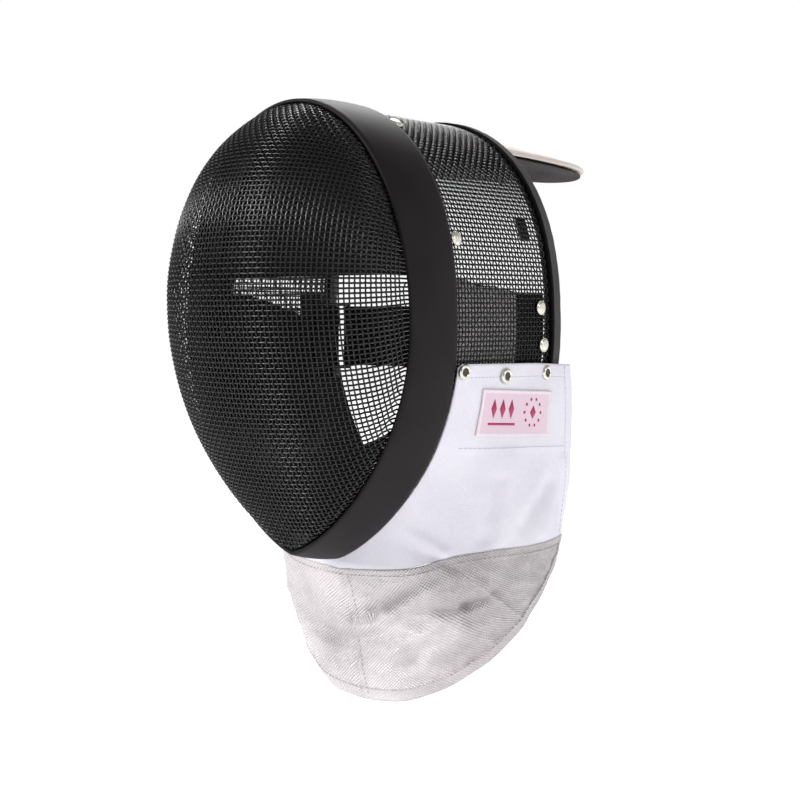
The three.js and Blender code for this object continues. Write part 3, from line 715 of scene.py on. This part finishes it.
def on_binding(u, inset, y):
    turn = mix(-HOOD_TURN, HOOD_TURN, u)
    wave = 0.22 * noise.noise(Vector((u * 90, inset * 0.1, y * 0.08)))
    return band_point(turn, y, inset - wave)


binding = swept(
    "binding_tape", 260, binding_profile(), on_binding, TAPE, "rear_binding", closed=False,
)
cut_map(binding, 470, 30)
# The strip of tape nearest the mesh is painted near black: painted shade where the tape meets the wire
# mesh.
binding.data.materials.append(TAPE_PAINTED_SHADE_STRIP)
for face in binding.data.polygons:
    face.material_index = 1 if face.center.y < (Y_HOOD - BINDING_WIDTH + PAINTED_SHADE_STRIP_WIDTH) * MM else 0


# Bib cloth: folds and creases, each a line from one turn and drop to another, with its width and height in
# millimetres. Turns are positive on the wearer's left.
CREASES = [
    ((0.87, 0.27), (0.77, 0.51), 7, 1.8),
    ((0.81, 0.33), (0.72, 0.50), 5, -2.0),
    ((1.19, 0.36), (0.96, 0.47), 6, -1.8),
    ((1.32, 0.31), (1.12, 0.50), 8, 1.3),
    ((0.32, 0.455), (0.50, 0.53), 4, 1.5),
    ((0.30, 0.49), (0.44, 0.55), 5, -1.4),
    ((0.47, 0.55), (0.58, 0.585), 4, -2.2),
    ((0.50, 0.54), (0.73, 0.66), 3, 1.3),
    ((0.73, 0.66), (0.87, 0.715), 3, 1.0),
    ((0.45, 0.705), (0.58, 0.69), 4, -2.2),
    ((0.58, 0.69), (0.73, 0.655), 3.5, -2.5),
    ((0.04, 0.775), (0.19, 0.725), 5, 1.9),
    ((0.19, 0.725), (0.39, 0.65), 5, 1.9),
    ((0.00, 0.75), (0.12, 0.728), 4, -1.7),
    ((0.12, 0.728), (0.34, 0.635), 4, -1.9),
    ((0.07, 0.835), (0.22, 0.83), 6, 1.4),
    ((0.22, 0.83), (0.45, 0.73), 6, 1.5),
    ((0.25, 0.87), (0.50, 0.78), 5, -1.3),
    ((0.39, 0.825), (0.56, 0.755), 6, 1.5),
    ((0.90, 0.56), (0.80, 0.62), 6, -1.2),
    ((-0.42, 0.73), (-0.16, 0.82), 8, -2.2),
    ((-0.16, 0.82), (0.00, 0.835), 6, -1.5),
    ((-0.85, 0.27), (-0.80, 0.50), 7, 1.5),
    ((-1.20, 0.35), (-1.00, 0.47), 7, -1.6),
    ((-0.35, 0.46), (-0.52, 0.53), 4, 1.3),
    ((-0.50, 0.55), (-0.85, 0.70), 4, -1.8),
    ((-0.95, 0.58), (-0.70, 0.72), 5, 1.5),
    ((-0.30, 0.90), (-0.60, 0.77), 6, -1.4),
]
TURN_LENGTH = 110  # millimetres of cloth in a quarter turn
HEM_TOP = 8
HEM_REAR = 6.5
HEM_LOW = 9
FACING = 5.5  # the folded upper edge of the conductive panel
YOKE_FRONT = 56.5  # how far the yoke of each wing hangs below the wing's top
YOKE_REAR = 62.5


def crease_push(around, drop):
    push = 0.0
    strength = mix(1.2, 1.7, smooth(0.45, 0.6, drop))
    place = Vector((around * TURN_LENGTH, drop * BIB_DROP))
    for (turn_a, drop_a), (turn_b, drop_b), width, height in CREASES:
        start = Vector((turn_a * TURN_LENGTH, drop_a * BIB_DROP))
        line = Vector((turn_b * TURN_LENGTH, drop_b * BIB_DROP)) - start
        near = start + line * clamp((place - start).dot(line) / line.length_squared)
        push += strength * height * math.exp(-(((place - near).length / width) ** 2))
    return push


def cloth_push(around, z):
    """How far soft hollows and creases push the cloth out."""
    point = bib_point(around, z)
    broad = noise.noise(point * 0.022) * 1.6
    middle = noise.noise(point * 0.06 + Vector((7, 3, 1))) * 0.5
    return broad + middle + crease_push(around, (BIB_TOP - z) / BIB_DROP)


def crumple(around, z):
    """Small sharp wrinkles of the stiff metal weave."""
    point = bib_point(around, z)
    ridges = 1 - 2 * abs(noise.noise(Vector((point.x * 0.045, point.y * 0.045, point.z * 0.08))))
    small = 1 - 2 * abs(noise.noise(Vector((point.z, point.x, point.y)) * 0.13))
    return 1.15 * ridges + 0.5 * small


def rear_hem(turn):
    """1 on the folded rear edge of the bib, 0 off it."""
    return smooth(BIB_END - HEM_REAR / BIB_SIDE - 0.012, BIB_END - HEM_REAR / BIB_SIDE, turn)


def yoke_drop(turn):
    return mix(YOKE_FRONT, YOKE_REAR, clamp((turn - 0.6) / (BIB_END - 0.6)))


def upper_at(around, z, out=0.0):
    turn = abs(around)
    below = ring_edge(turn) - z
    on_wing = turn > WING_START
    from_trim = 60 if on_wing else below
    from_seam = z - z_at_drop(seam_at(turn / BIB_END))
    loose = smooth(4, 40, from_trim) * smooth(-4, 8, from_seam)
    hem = 0.45 * (1 - smooth(HEM_TOP - 1, HEM_TOP + 1, below)) if on_wing else 0
    yoke = 0.45 * (1 - smooth(-1, 1, BIB_TOP - z - yoke_drop(turn))) * smooth(10, 20, from_trim)
    folded = max(hem, 0.5 * rear_hem(turn)) + yoke
    return bib_point(around or 1e-6, z, cloth_push(around, z) * loose + folded + out)


def lower_at(around, z, out=0.0):
    turn = abs(around)
    from_top = z_at_drop(seam_at(turn / BIB_END)) - z
    from_hem = z - z_at_drop(hem_at(turn / BIB_END))
    loose = smooth(-4, 8, from_top)
    facing = 0.55 * (1 - smooth(FACING - 0.8, FACING + 0.8, from_top))
    hem = 0.7 * (1 - smooth(HEM_LOW - 1, HEM_LOW + 1, from_hem))
    seam = -0.9 * math.exp(-((turn * TURN_LENGTH / 1.6) ** 2))
    wrinkles = crumple(around, z) * smooth(2, 14, from_top) * smooth(2, 12, from_hem)
    push = cloth_push(around, z) * loose + wrinkles + facing + max(hem, 0.5 * rear_hem(turn)) + seam
    return bib_point(around or 1e-6, z, push + out)


def upper_place(u, v):
    around = mix(-BIB_END, BIB_END, u)
    turn = abs(around)
    return upper_at(around, mix(ring_edge(turn), z_at_drop(seam_at(turn / BIB_END)) + GAP, v))


def lower_place(u, v):
    around = mix(-BIB_END, BIB_END, u)
    share = abs(around) / BIB_END
    return lower_at(around, mix(z_at_drop(seam_at(share)), z_at_drop(hem_at(share)), v))


bib_upper = shell(
    "bib_cloth", 280, 70, upper_place, BIB_CLOTH, "bib_upper", wall=BIB_WALL, inside=BIB_INNER_FACE,
)
bib_lower = shell(
    "bib_lame", 280, 64, lower_place, LAME, "bib_lower", wall=BIB_WALL, inside=BIB_INNER_FACE,
)
cut_map(bib_upper, 420, 130)
cut_map(bib_lower, 420, 110)

# Sewing: short raised stitches along a route, where route(share, out) is a place on the cloth
STITCH = 2.4
STITCH_GAP = 1.1
THREAD_RADIUS = 0.28
ROUTE_STEPS = 500


def stitches(name, routes, material):
    lines = []
    for route in routes:
        travelled = lengths_along([route(share, 0) for share in steps(ROUTE_STEPS)])
        count = int(travelled[-1] / (STITCH + STITCH_GAP))

        def share_at(distance):
            k = next(i for i, reached in enumerate(travelled) if reached >= distance)
            return k / ROUTE_STEPS

        for i in range(count):
            begin = travelled[-1] * i / count
            ends = [share_at(begin), share_at(begin + STITCH / 2), share_at(begin + STITCH)]
            lines.append([route(share, out) for share, out in zip(ends, (0, THREAD_RADIUS, 0))])
    return wires(name, lines, THREAD_RADIUS, material, None)


CLOTH_FACE = BIB_WALL / 2 + 0.05


def across_upper(below, start, end, side):
    """A row on the white cloth, at the height that below(turn) gives."""
    def route(share, out):
        turn = mix(start, end, share)
        return upper_at(turn * side, below(turn), CLOTH_FACE + out)
    return route


def across_lower(z_of, start, end):
    def route(share, out):
        around = mix(start, end, share)
        return lower_at(around, z_of(abs(around) / BIB_END), CLOTH_FACE + out)
    return route


def down_lower(turn_top, drop_top, turn_low, drop_low):
    def route(share, out):
        z = z_at_drop(mix(drop_top, drop_low, share))
        return lower_at(mix(turn_top, turn_low, share), z, CLOTH_FACE + out)
    return route


REAR_ROW = BIB_END - HEM_REAR / BIB_SIDE - 0.008
WING_FRONT = WING_START + 0.01


def down_rear(side):
    def route(share, out):
        z = mix(ring_edge(REAR_ROW) - 1, z_at_drop(hem_at(REAR_ROW / BIB_END)) + 1, share)
        place = upper_at if z > z_at_drop(seam_at(REAR_ROW / BIB_END)) else lower_at
        return place(REAR_ROW * side, z, CLOTH_FACE + out)
    return route


def hem_row(turn):
    return ring_edge(turn) - HEM_TOP - 0.8


def yoke_row(turn):
    return BIB_TOP - yoke_drop(turn) + 2.2


white_rows = [down_rear(1), down_rear(-1)]
for side in (1, -1):
    white_rows.append(across_upper(hem_row, WING_FRONT, REAR_ROW, side))
    white_rows.append(across_upper(yoke_row, 0.68, REAR_ROW, side))
stitches("white_stitches", white_rows, THREAD)
grey_rows = [
    across_lower(lambda share: z_at_drop(seam_at(share)) - FACING + 0.8, -REAR_ROW, REAR_ROW),
    across_lower(lambda share: z_at_drop(hem_at(share)) + HEM_LOW - 0.8, -REAR_ROW, REAR_ROW),
    down_lower(0.03, 0.62, 0.03, 0.985),
    down_lower(0.50, 0.56, 0.87, 0.715),
    down_lower(-0.50, 0.56, -0.87, 0.715),
]
stitches("grey_stitches", grey_rows, GREY_THREAD)


# Patch with its sewn edge and its generic marks
PATCH_OUT = BIB_WALL / 2 + GAP + PATCH["wall"] / 2
PATCH_BORDER = 2.2


def patch_point(across, down, out):
    """Place on the patch: millimetres back from its front edge and down from its top."""
    along = across / PATCH["width"]
    z = BIB_TOP - PATCH["drop"] - down - PATCH["slope"] * along
    around = bib_turn(PATCH["back"] + across, z)
    return upper_at(around, z, out)


def patch_place(u, v):
    across = u * PATCH["width"]
    down = v * PATCH["height"]
    edge = min(across, PATCH["width"] - across, down, PATCH["height"] - down)
    return patch_point(across, down, PATCH_OUT + 0.3 * math.exp(-(((edge - 1) / 0.9) ** 2)))


patch = shell("patch_cloth", 90, 44, patch_place, PATCH_CLOTH, "label_patch", wall=PATCH["wall"])
cut_map(patch, PATCH["width"], PATCH["height"])
patch.data.materials.append(PATCH_EDGE)
for face in patch.data.polygons:
    corners = [patch.data.uv_layers["cut"].data[i].uv for i in face.loop_indices]
    across = sum(corner.x for corner in corners) / len(corners)
    down = sum(corner.y for corner in corners) / len(corners)
    edge = min(across, PATCH["width"] - across, down, PATCH["height"] - down)
    face.material_index = 1 if edge < PATCH_BORDER else 0


def patch_marks():
    """Plain printed shapes: three upright lozenges over a bar, and a lozenge in a ring of dots."""
    shapes = []
    for k in range(3):
        shapes.append((4, (12 + 8 * k, 12.5), (2.6, 6.5)))
    shapes.append((4, (50, 14.5), (3.4, 4.6)))
    for k in range(10):
        angle = k * math.pi / 5
        shapes.append((10, (50 + 9 * math.cos(angle), 14.5 + 9 * math.sin(angle)), (1.1, 1.1)))
    bm = bmesh.new()
    face_out = PATCH_OUT + PATCH["wall"] / 2
    for sides, (across, down), (wide, high) in shapes:
        made = bmesh.ops.create_circle(bm, cap_ends=True, segments=sides, radius=1)["verts"]
        for vertex in made:
            place = patch_point(across + vertex.co.x * wide, down + vertex.co.y * high, face_out)
            vertex.co = place * MM
    bar = bmesh.ops.create_grid(bm, x_segments=12, y_segments=1, size=1)["verts"]
    for vertex in bar:
        vertex.co = patch_point(20 + vertex.co.x * 12, 22.5 + vertex.co.y * 0.8, face_out) * MM
    bmesh.ops.recalc_face_normals(bm, faces=bm.faces)
    for face in bm.faces:
        if face.normal.x < 0:
            face.normal_flip()
    piece = finish_piece("patch_marks", mesh_of(bm, "patch_marks"), PRINT, None)
    thick = piece.modifiers.new("ink", "SOLIDIFY")
    thick.thickness = 0.16 * MM
    thick.offset = 0


patch_marks()


# Rivets have a domed head with a rolled rim, snaps a thick ring round a hollow
def rivet_profile():
    rim = [(4.85, 0.0), (5.0, 0.45), (4.8, 0.95), (4.4, 1.15)]
    angles = [share * math.pi / 2 for share in steps(7)]
    return rim + [(4.2 * math.cos(angle), 1.1 + 1.25 * math.sin(angle)) for angle in angles]


def snap_profile():
    ring = [(4.85, 0.0), (5.0, 0.5), (4.9, 1.1), (4.6, 1.8), (4.1, 2.2), (3.5, 2.25), (3.0, 2.05)]
    return ring + [(2.6, 1.7), (2.3, 1.4), (1.7, 1.25), (0.9, 1.4), (0, 1.5)]


# How far from a snap's middle its painted dark reflection reaches.
PAINTED_DARK_REFLECTION_RADIUS = 2.5


def rivet(node):
    """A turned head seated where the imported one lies, looking away from its largest flat face."""
    solid_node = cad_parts[node]
    low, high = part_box(node)
    middle = (Vector(low) + Vector(high)) / 2
    corners = [solid_node.matrix_world @ v.co for v in solid_node.data.vertices]
    largest = max(solid_node.data.polygons, key=lambda face: face.area)
    outward = -(solid_node.matrix_world.to_3x3() @ largest.normal)
    side = 1 if node.endswith("left") else -1
    if outward.x * side < 0:
        outward.negate()
    base = min(corners, key=lambda c: c.dot(outward)).dot(outward)
    seat = middle + outward * (base - middle.dot(outward))
    bm = bmesh.new()
    rows = snap_profile() if node.startswith("snap_") else rivet_profile()
    made = [bm.verts.new((radius * MM, 0, height * MM)) for radius, height in rows]
    for a, b in zip(made, made[1:]):
        bm.edges.new((a, b))
    bmesh.ops.spin(
        bm, geom=bm.verts[:] + bm.edges[:], cent=(0, 0, 0), axis=(0, 0, 1), angle=2 * math.pi, steps=32,
        use_merge=True,
    )
    bmesh.ops.remove_doubles(bm, verts=bm.verts, dist=0.00001)
    fill_rims(bm)
    bmesh.ops.recalc_face_normals(bm, faces=bm.faces)
    turn = outward.to_track_quat("Z", "Y").to_matrix().to_4x4()
    bmesh.ops.transform(bm, matrix=Matrix.Translation(seat) @ turn, verts=bm.verts)
    piece = finish_piece(node + "_head", mesh_of(bm, node + "_head"), NICKEL, node)
    # The snap's hollow gets a painted dark reflection.
    if node.startswith("snap_"):
        piece.data.materials.append(SNAP_PAINTED_DARK_REFLECTION)
        for face in piece.data.polygons:
            from_middle = (face.center - seat).cross(outward).length
            face.material_index = 1 if from_middle < PAINTED_DARK_REFLECTION_RADIUS * MM else 0


for node in sorted(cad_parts):
    if node.startswith(("rivet_", "snap_")):
        rivet(node)


# Tongue: a soft cover with a rolled rim over a sprung core, and a felt lining
BINDING_INNER = MESH_INSET + 1 + GAP + BINDING_WALL
Z_RIDGE = WAIST + REAR_RING["up"] - HOOD_FALL - BINDING_INNER - GAP
Y_TONGUE = Y_HOOD + GAP + BINDING_WALL - BINDING_WIDTH


def tongue_point(along, across, lower, narrow):
    tip = clamp((along - 1 + TONGUE["tip"]) / TONGUE["tip"])
    half = (TONGUE["half"] - narrow) * math.sqrt(max(0, 1 - tip ** TONGUE["round"]))
    x = across * half
    arch = mix(TONGUE["arch"], TONGUE["arch_tip"], along) * (x / TONGUE["half"]) ** 2
    z = Z_RIDGE - TONGUE["sag"] * along ** TONGUE["bend"] - arch - lower
    return Vector((x, Y_TONGUE + (TONGUE["length"] - narrow) * along, z))


def tongue_layer(name, top, bottom, narrow, roll, material, node):
    """A closed pillow: the top and bottom sheets meet in a rounded rim."""
    def place(u, v):
        over = u < 0.5
        across = math.sin(((u * 4 if over else 4 - u * 4) - 1) * math.pi / 2)
        along = 0.0015 + 0.997 * math.sin(v * math.pi / 2) ** 1.1
        rim = (1 - abs(across) ** 7) ** 0.5 * (1 - clamp((along - 0.93) / 0.07) ** 3 * 0.7)
        middle = (top + bottom) / 2
        depth = mix(middle, top if over else bottom, 0.12 + 0.88 * rim)
        puff = -0.35 * noise.noise(Vector((across * 2.2, along * 6, 0.5))) * rim if over else 0
        lip = roll * math.exp(-(((abs(across) - 0.93) / 0.05) ** 2)) * (1 if over else 0)
        return tongue_point(along, across, depth + puff - lip, narrow)

    bm = cloth_grid(144, 90)
    for vertex in bm.verts:
        vertex.co = place(vertex.co.x + 0.5, vertex.co.y + 0.5) * MM
    bmesh.ops.remove_doubles(bm, verts=bm.verts, dist=0.00003)
    fill_rims(bm)
    bmesh.ops.recalc_face_normals(bm, faces=bm.faces)
    piece = finish_piece(name, mesh_of(bm, name), material, node)
    cut_map(piece, 180, TONGUE["length"])
    return piece


LINING_TOP = TONGUE["wall"] + GAP
tongue_top = tongue_layer(
    "tongue_padding", 0, TONGUE["wall"], 0, 0.5, CREAM, "tongue_cover",
)
tongue_layer(
    "tongue_felt", LINING_TOP, LINING_TOP + TONGUE["lining"], 2.5, 0, FELT, "tongue_lining",
)


def solid_of(node):
    """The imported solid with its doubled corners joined."""
    bm = bmesh.new()
    bm.from_mesh(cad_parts[node].data)
    bmesh.ops.remove_doubles(bm, verts=bm.verts, dist=0.00001)
    bmesh.ops.recalc_face_normals(bm, faces=bm.faces)
    return bm


# Pads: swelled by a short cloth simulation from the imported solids. Each has its voxel and its cap.
PADS = {
    "crown_pad": (4.0, 2.2),
    "forehead_pad": (4.0, 2.5),
    "chin_pad": (3.0, 1.5),
    "cheek_pad_left": (4.0, 2.0),
    "cheek_pad_right": (4.0, 2.0),
}
PAD_SHRINK = 0.7  # the cut size before the padding swells
PAD_STEPS = 20


def pad_blank(node, voxel):
    bm = solid_of(node)
    for vertex in bm.verts:
        vertex.co -= vertex.normal * PAD_SHRINK * MM
    piece = finish_piece(node + "_padding", mesh_of(bm, node + "_padding"), KNIT, node)
    remesh = piece.modifiers.new("remesh", "REMESH")
    remesh.mode = "VOXEL"
    remesh.voxel_size = voxel * MM
    bpy.context.view_layer.update()
    made = settled_mesh(piece)
    piece.modifiers.clear()
    piece.data = made
    piece.data.materials.clear()
    piece.data.materials.append(KNIT)
    return piece


def swell(pieces):
    """Inflates the pads side by side, then keeps each point within its cap."""
    start = {name: [v.co.copy() for v in piece.data.vertices] for name, piece in pieces.items()}
    for piece in pieces.values():
        bag = piece.modifiers.new("bag", "CLOTH")
        bag.settings.use_pressure = True
        bag.settings.uniform_pressure_force = 4
        bag.settings.effector_weights.gravity = 0
        bag.settings.tension_stiffness = 25
        bag.settings.compression_stiffness = 25
        bag.point_cache.frame_start = 1
        bag.point_cache.frame_end = PAD_STEPS
    scene = bpy.context.scene
    for step in range(1, PAD_STEPS + 1):
        scene.frame_set(step)
    graph = bpy.context.evaluated_depsgraph_get()
    for name, piece in pieces.items():
        cap = PADS[name][1] * MM
        moved = [v.co.copy() for v in piece.evaluated_get(graph).data.vertices]
        piece.modifiers.clear()
        for vertex, was, now in zip(piece.data.vertices, start[name], moved):
            shift = now - was
            vertex.co = was + shift * min(1, cap / max(shift.length, 1e-9))
    scene.frame_set(1)
    for name, piece in pieces.items():
        piece.data.materials.append(BACKING)
        outward = {"cheek_pad_left": 1, "cheek_pad_right": -1}.get(name, 0)
        for face in piece.data.polygons:
            face.use_smooth = True
            face.material_index = 1 if face.normal.x * outward > 0.5 else 0
        finer = piece.modifiers.new("finer", "SUBSURF")
        finer.levels = finer.render_levels = 1


swell({node: pad_blank(node, voxel) for node, (voxel, _) in PADS.items()})


# Straps: woven elastic with rounded edges
def dressed(node, material, bevel=0.5):
    """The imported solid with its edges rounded."""
    bm = solid_of(node)
    sharp = [edge for edge in bm.edges if edge.is_manifold and edge.calc_face_angle() > 0.9]
    bmesh.ops.bevel(
        bm, geom=sharp, offset=bevel * MM, offset_type="OFFSET", segments=2, profile=0.5, affect="EDGES",
        material=-1,
    )
    layer = bm.loops.layers.uv.new("cut")
    for face in bm.faces:
        for loop in face.loops:
            co = loop.vert.co
            loop[layer].uv = ((co.x + co.y) / MM * 0.7071, co.z / MM)
    finish_piece(node + "_woven", mesh_of(bm, node + "_woven"), material, node, shade=False)


tabs = ["strap_tab_left", "strap_tab_right", "side_tab_left", "side_tab_right"]
for node in tabs + ["back_strap", "strap_end"]:
    dressed(node, ELASTIC)
dressed("strap_slide", NYLON, 0.6)


# Camera: level, as far from the mask as the photograph's perspective shows
camera_data = bpy.data.cameras.new("camera")
camera_data.lens = 66.4
camera_data.sensor_width = 36
camera_data.shift_y = -0.109
camera = bpy.data.objects.new("camera", camera_data)
camera.location = (0.679, -0.779, -0.1222)
aim = Vector((0.053, -0.047, -0.1222))
camera.rotation_euler = (aim - camera.location).to_track_quat("-Z", "Y").to_euler()
bpy.context.scene.collection.objects.link(camera)
bpy.context.scene.camera = camera

# Floor and light
FLOOR_Z = -0.7
FLOOR_RADIUS = 9


def studio_paper():
    """Matte white paper that glows a little, as paper lit from below does."""
    material, tree, shader = new_material("white studio paper")
    place = add(tree, "ShaderNodeTexCoord").outputs["Object"]
    fibre = clouds(tree, place, 3.0, 3.0)
    tree.links.new(ramp(tree, fibre, [(0.3, "c3c3c5"), (0.7, "c8c8c9")]), shader.inputs["Base Color"])
    put(shader, Roughness=0.95, Specular_IOR_Level=0.0)
    put(shader, Emission_Color=(1, 1, 1, 1), Emission_Strength=0.9)
    return material


def floor():
    bm = bmesh.new()
    bmesh.ops.create_circle(bm, cap_ends=True, segments=96, radius=FLOOR_RADIUS)
    bmesh.ops.translate(bm, vec=(0, 0, FLOOR_Z), verts=bm.verts)
    bmesh.ops.recalc_face_normals(bm, faces=bm.faces)
    for face in bm.faces:
        if face.normal.z < 0:
            face.normal_flip()
    piece = bpy.data.objects.new("floor", mesh_of(bm, "floor"))
    piece.data.materials.append(studio_paper())
    bpy.context.scene.collection.objects.link(piece)


floor()


def area_light(name, place, size, power):
    data = bpy.data.lights.new(name, "AREA")
    data.shape = "DISK"
    data.size = size
    data.energy = power
    light = bpy.data.objects.new(name, data)
    light.location = place
    light.rotation_euler = (Vector((0, 0, -0.15)) - light.location).to_track_quat("-Z", "Y").to_euler()
    bpy.context.scene.collection.objects.link(light)


area_light("key", (-0.9, -1.6, 0.9), 0.4, 34)
area_light("side", (1.9, -0.2, 0.7), 0.5, 7)
area_light("back", (-0.8, 1.2, 1.3), 0.9, 24)


DIM_SIDE = (0.655, -0.755, 0)  # the open side of the studio


def studio_air():
    """A white studio whose ceiling is dimmer than its walls, open to a dim room on one side."""
    world = bpy.data.worlds.new("studio")
    world.use_nodes = True
    tree = world.node_tree
    way = add(tree, "ShaderNodeTexCoord").outputs["Generated"]
    height = add(tree, "ShaderNodeSeparateXYZ", Vector=way).outputs["Z"]
    toward = add(tree, "ShaderNodeVectorMath", {"operation": "DOT_PRODUCT"}, i0=way, i1=DIM_SIDE)

    def falling(value, start, end, last):
        """1 up to the start, falling to the last strength at the end."""
        sizes = {"From_Min": start, "From_Max": end, "To_Min": 1.0, "To_Max": last}
        return add(tree, "ShaderNodeMapRange", Value=value, **sizes).outputs[0]

    wall = falling(height, 0.25, 0.5, 0.4)
    room = falling(toward.outputs["Value"], 0.8, 0.93, 0.15)
    strength = reckon(tree, "MULTIPLY", wall, room)
    tree.links.new(strength, tree.nodes["Background"].inputs["Strength"])
    tree.nodes["Background"].inputs["Color"].default_value = (1, 1, 1, 1)
    bpy.context.scene.world = world


studio_air()
bpy.context.scene.view_settings.view_transform = "Standard"
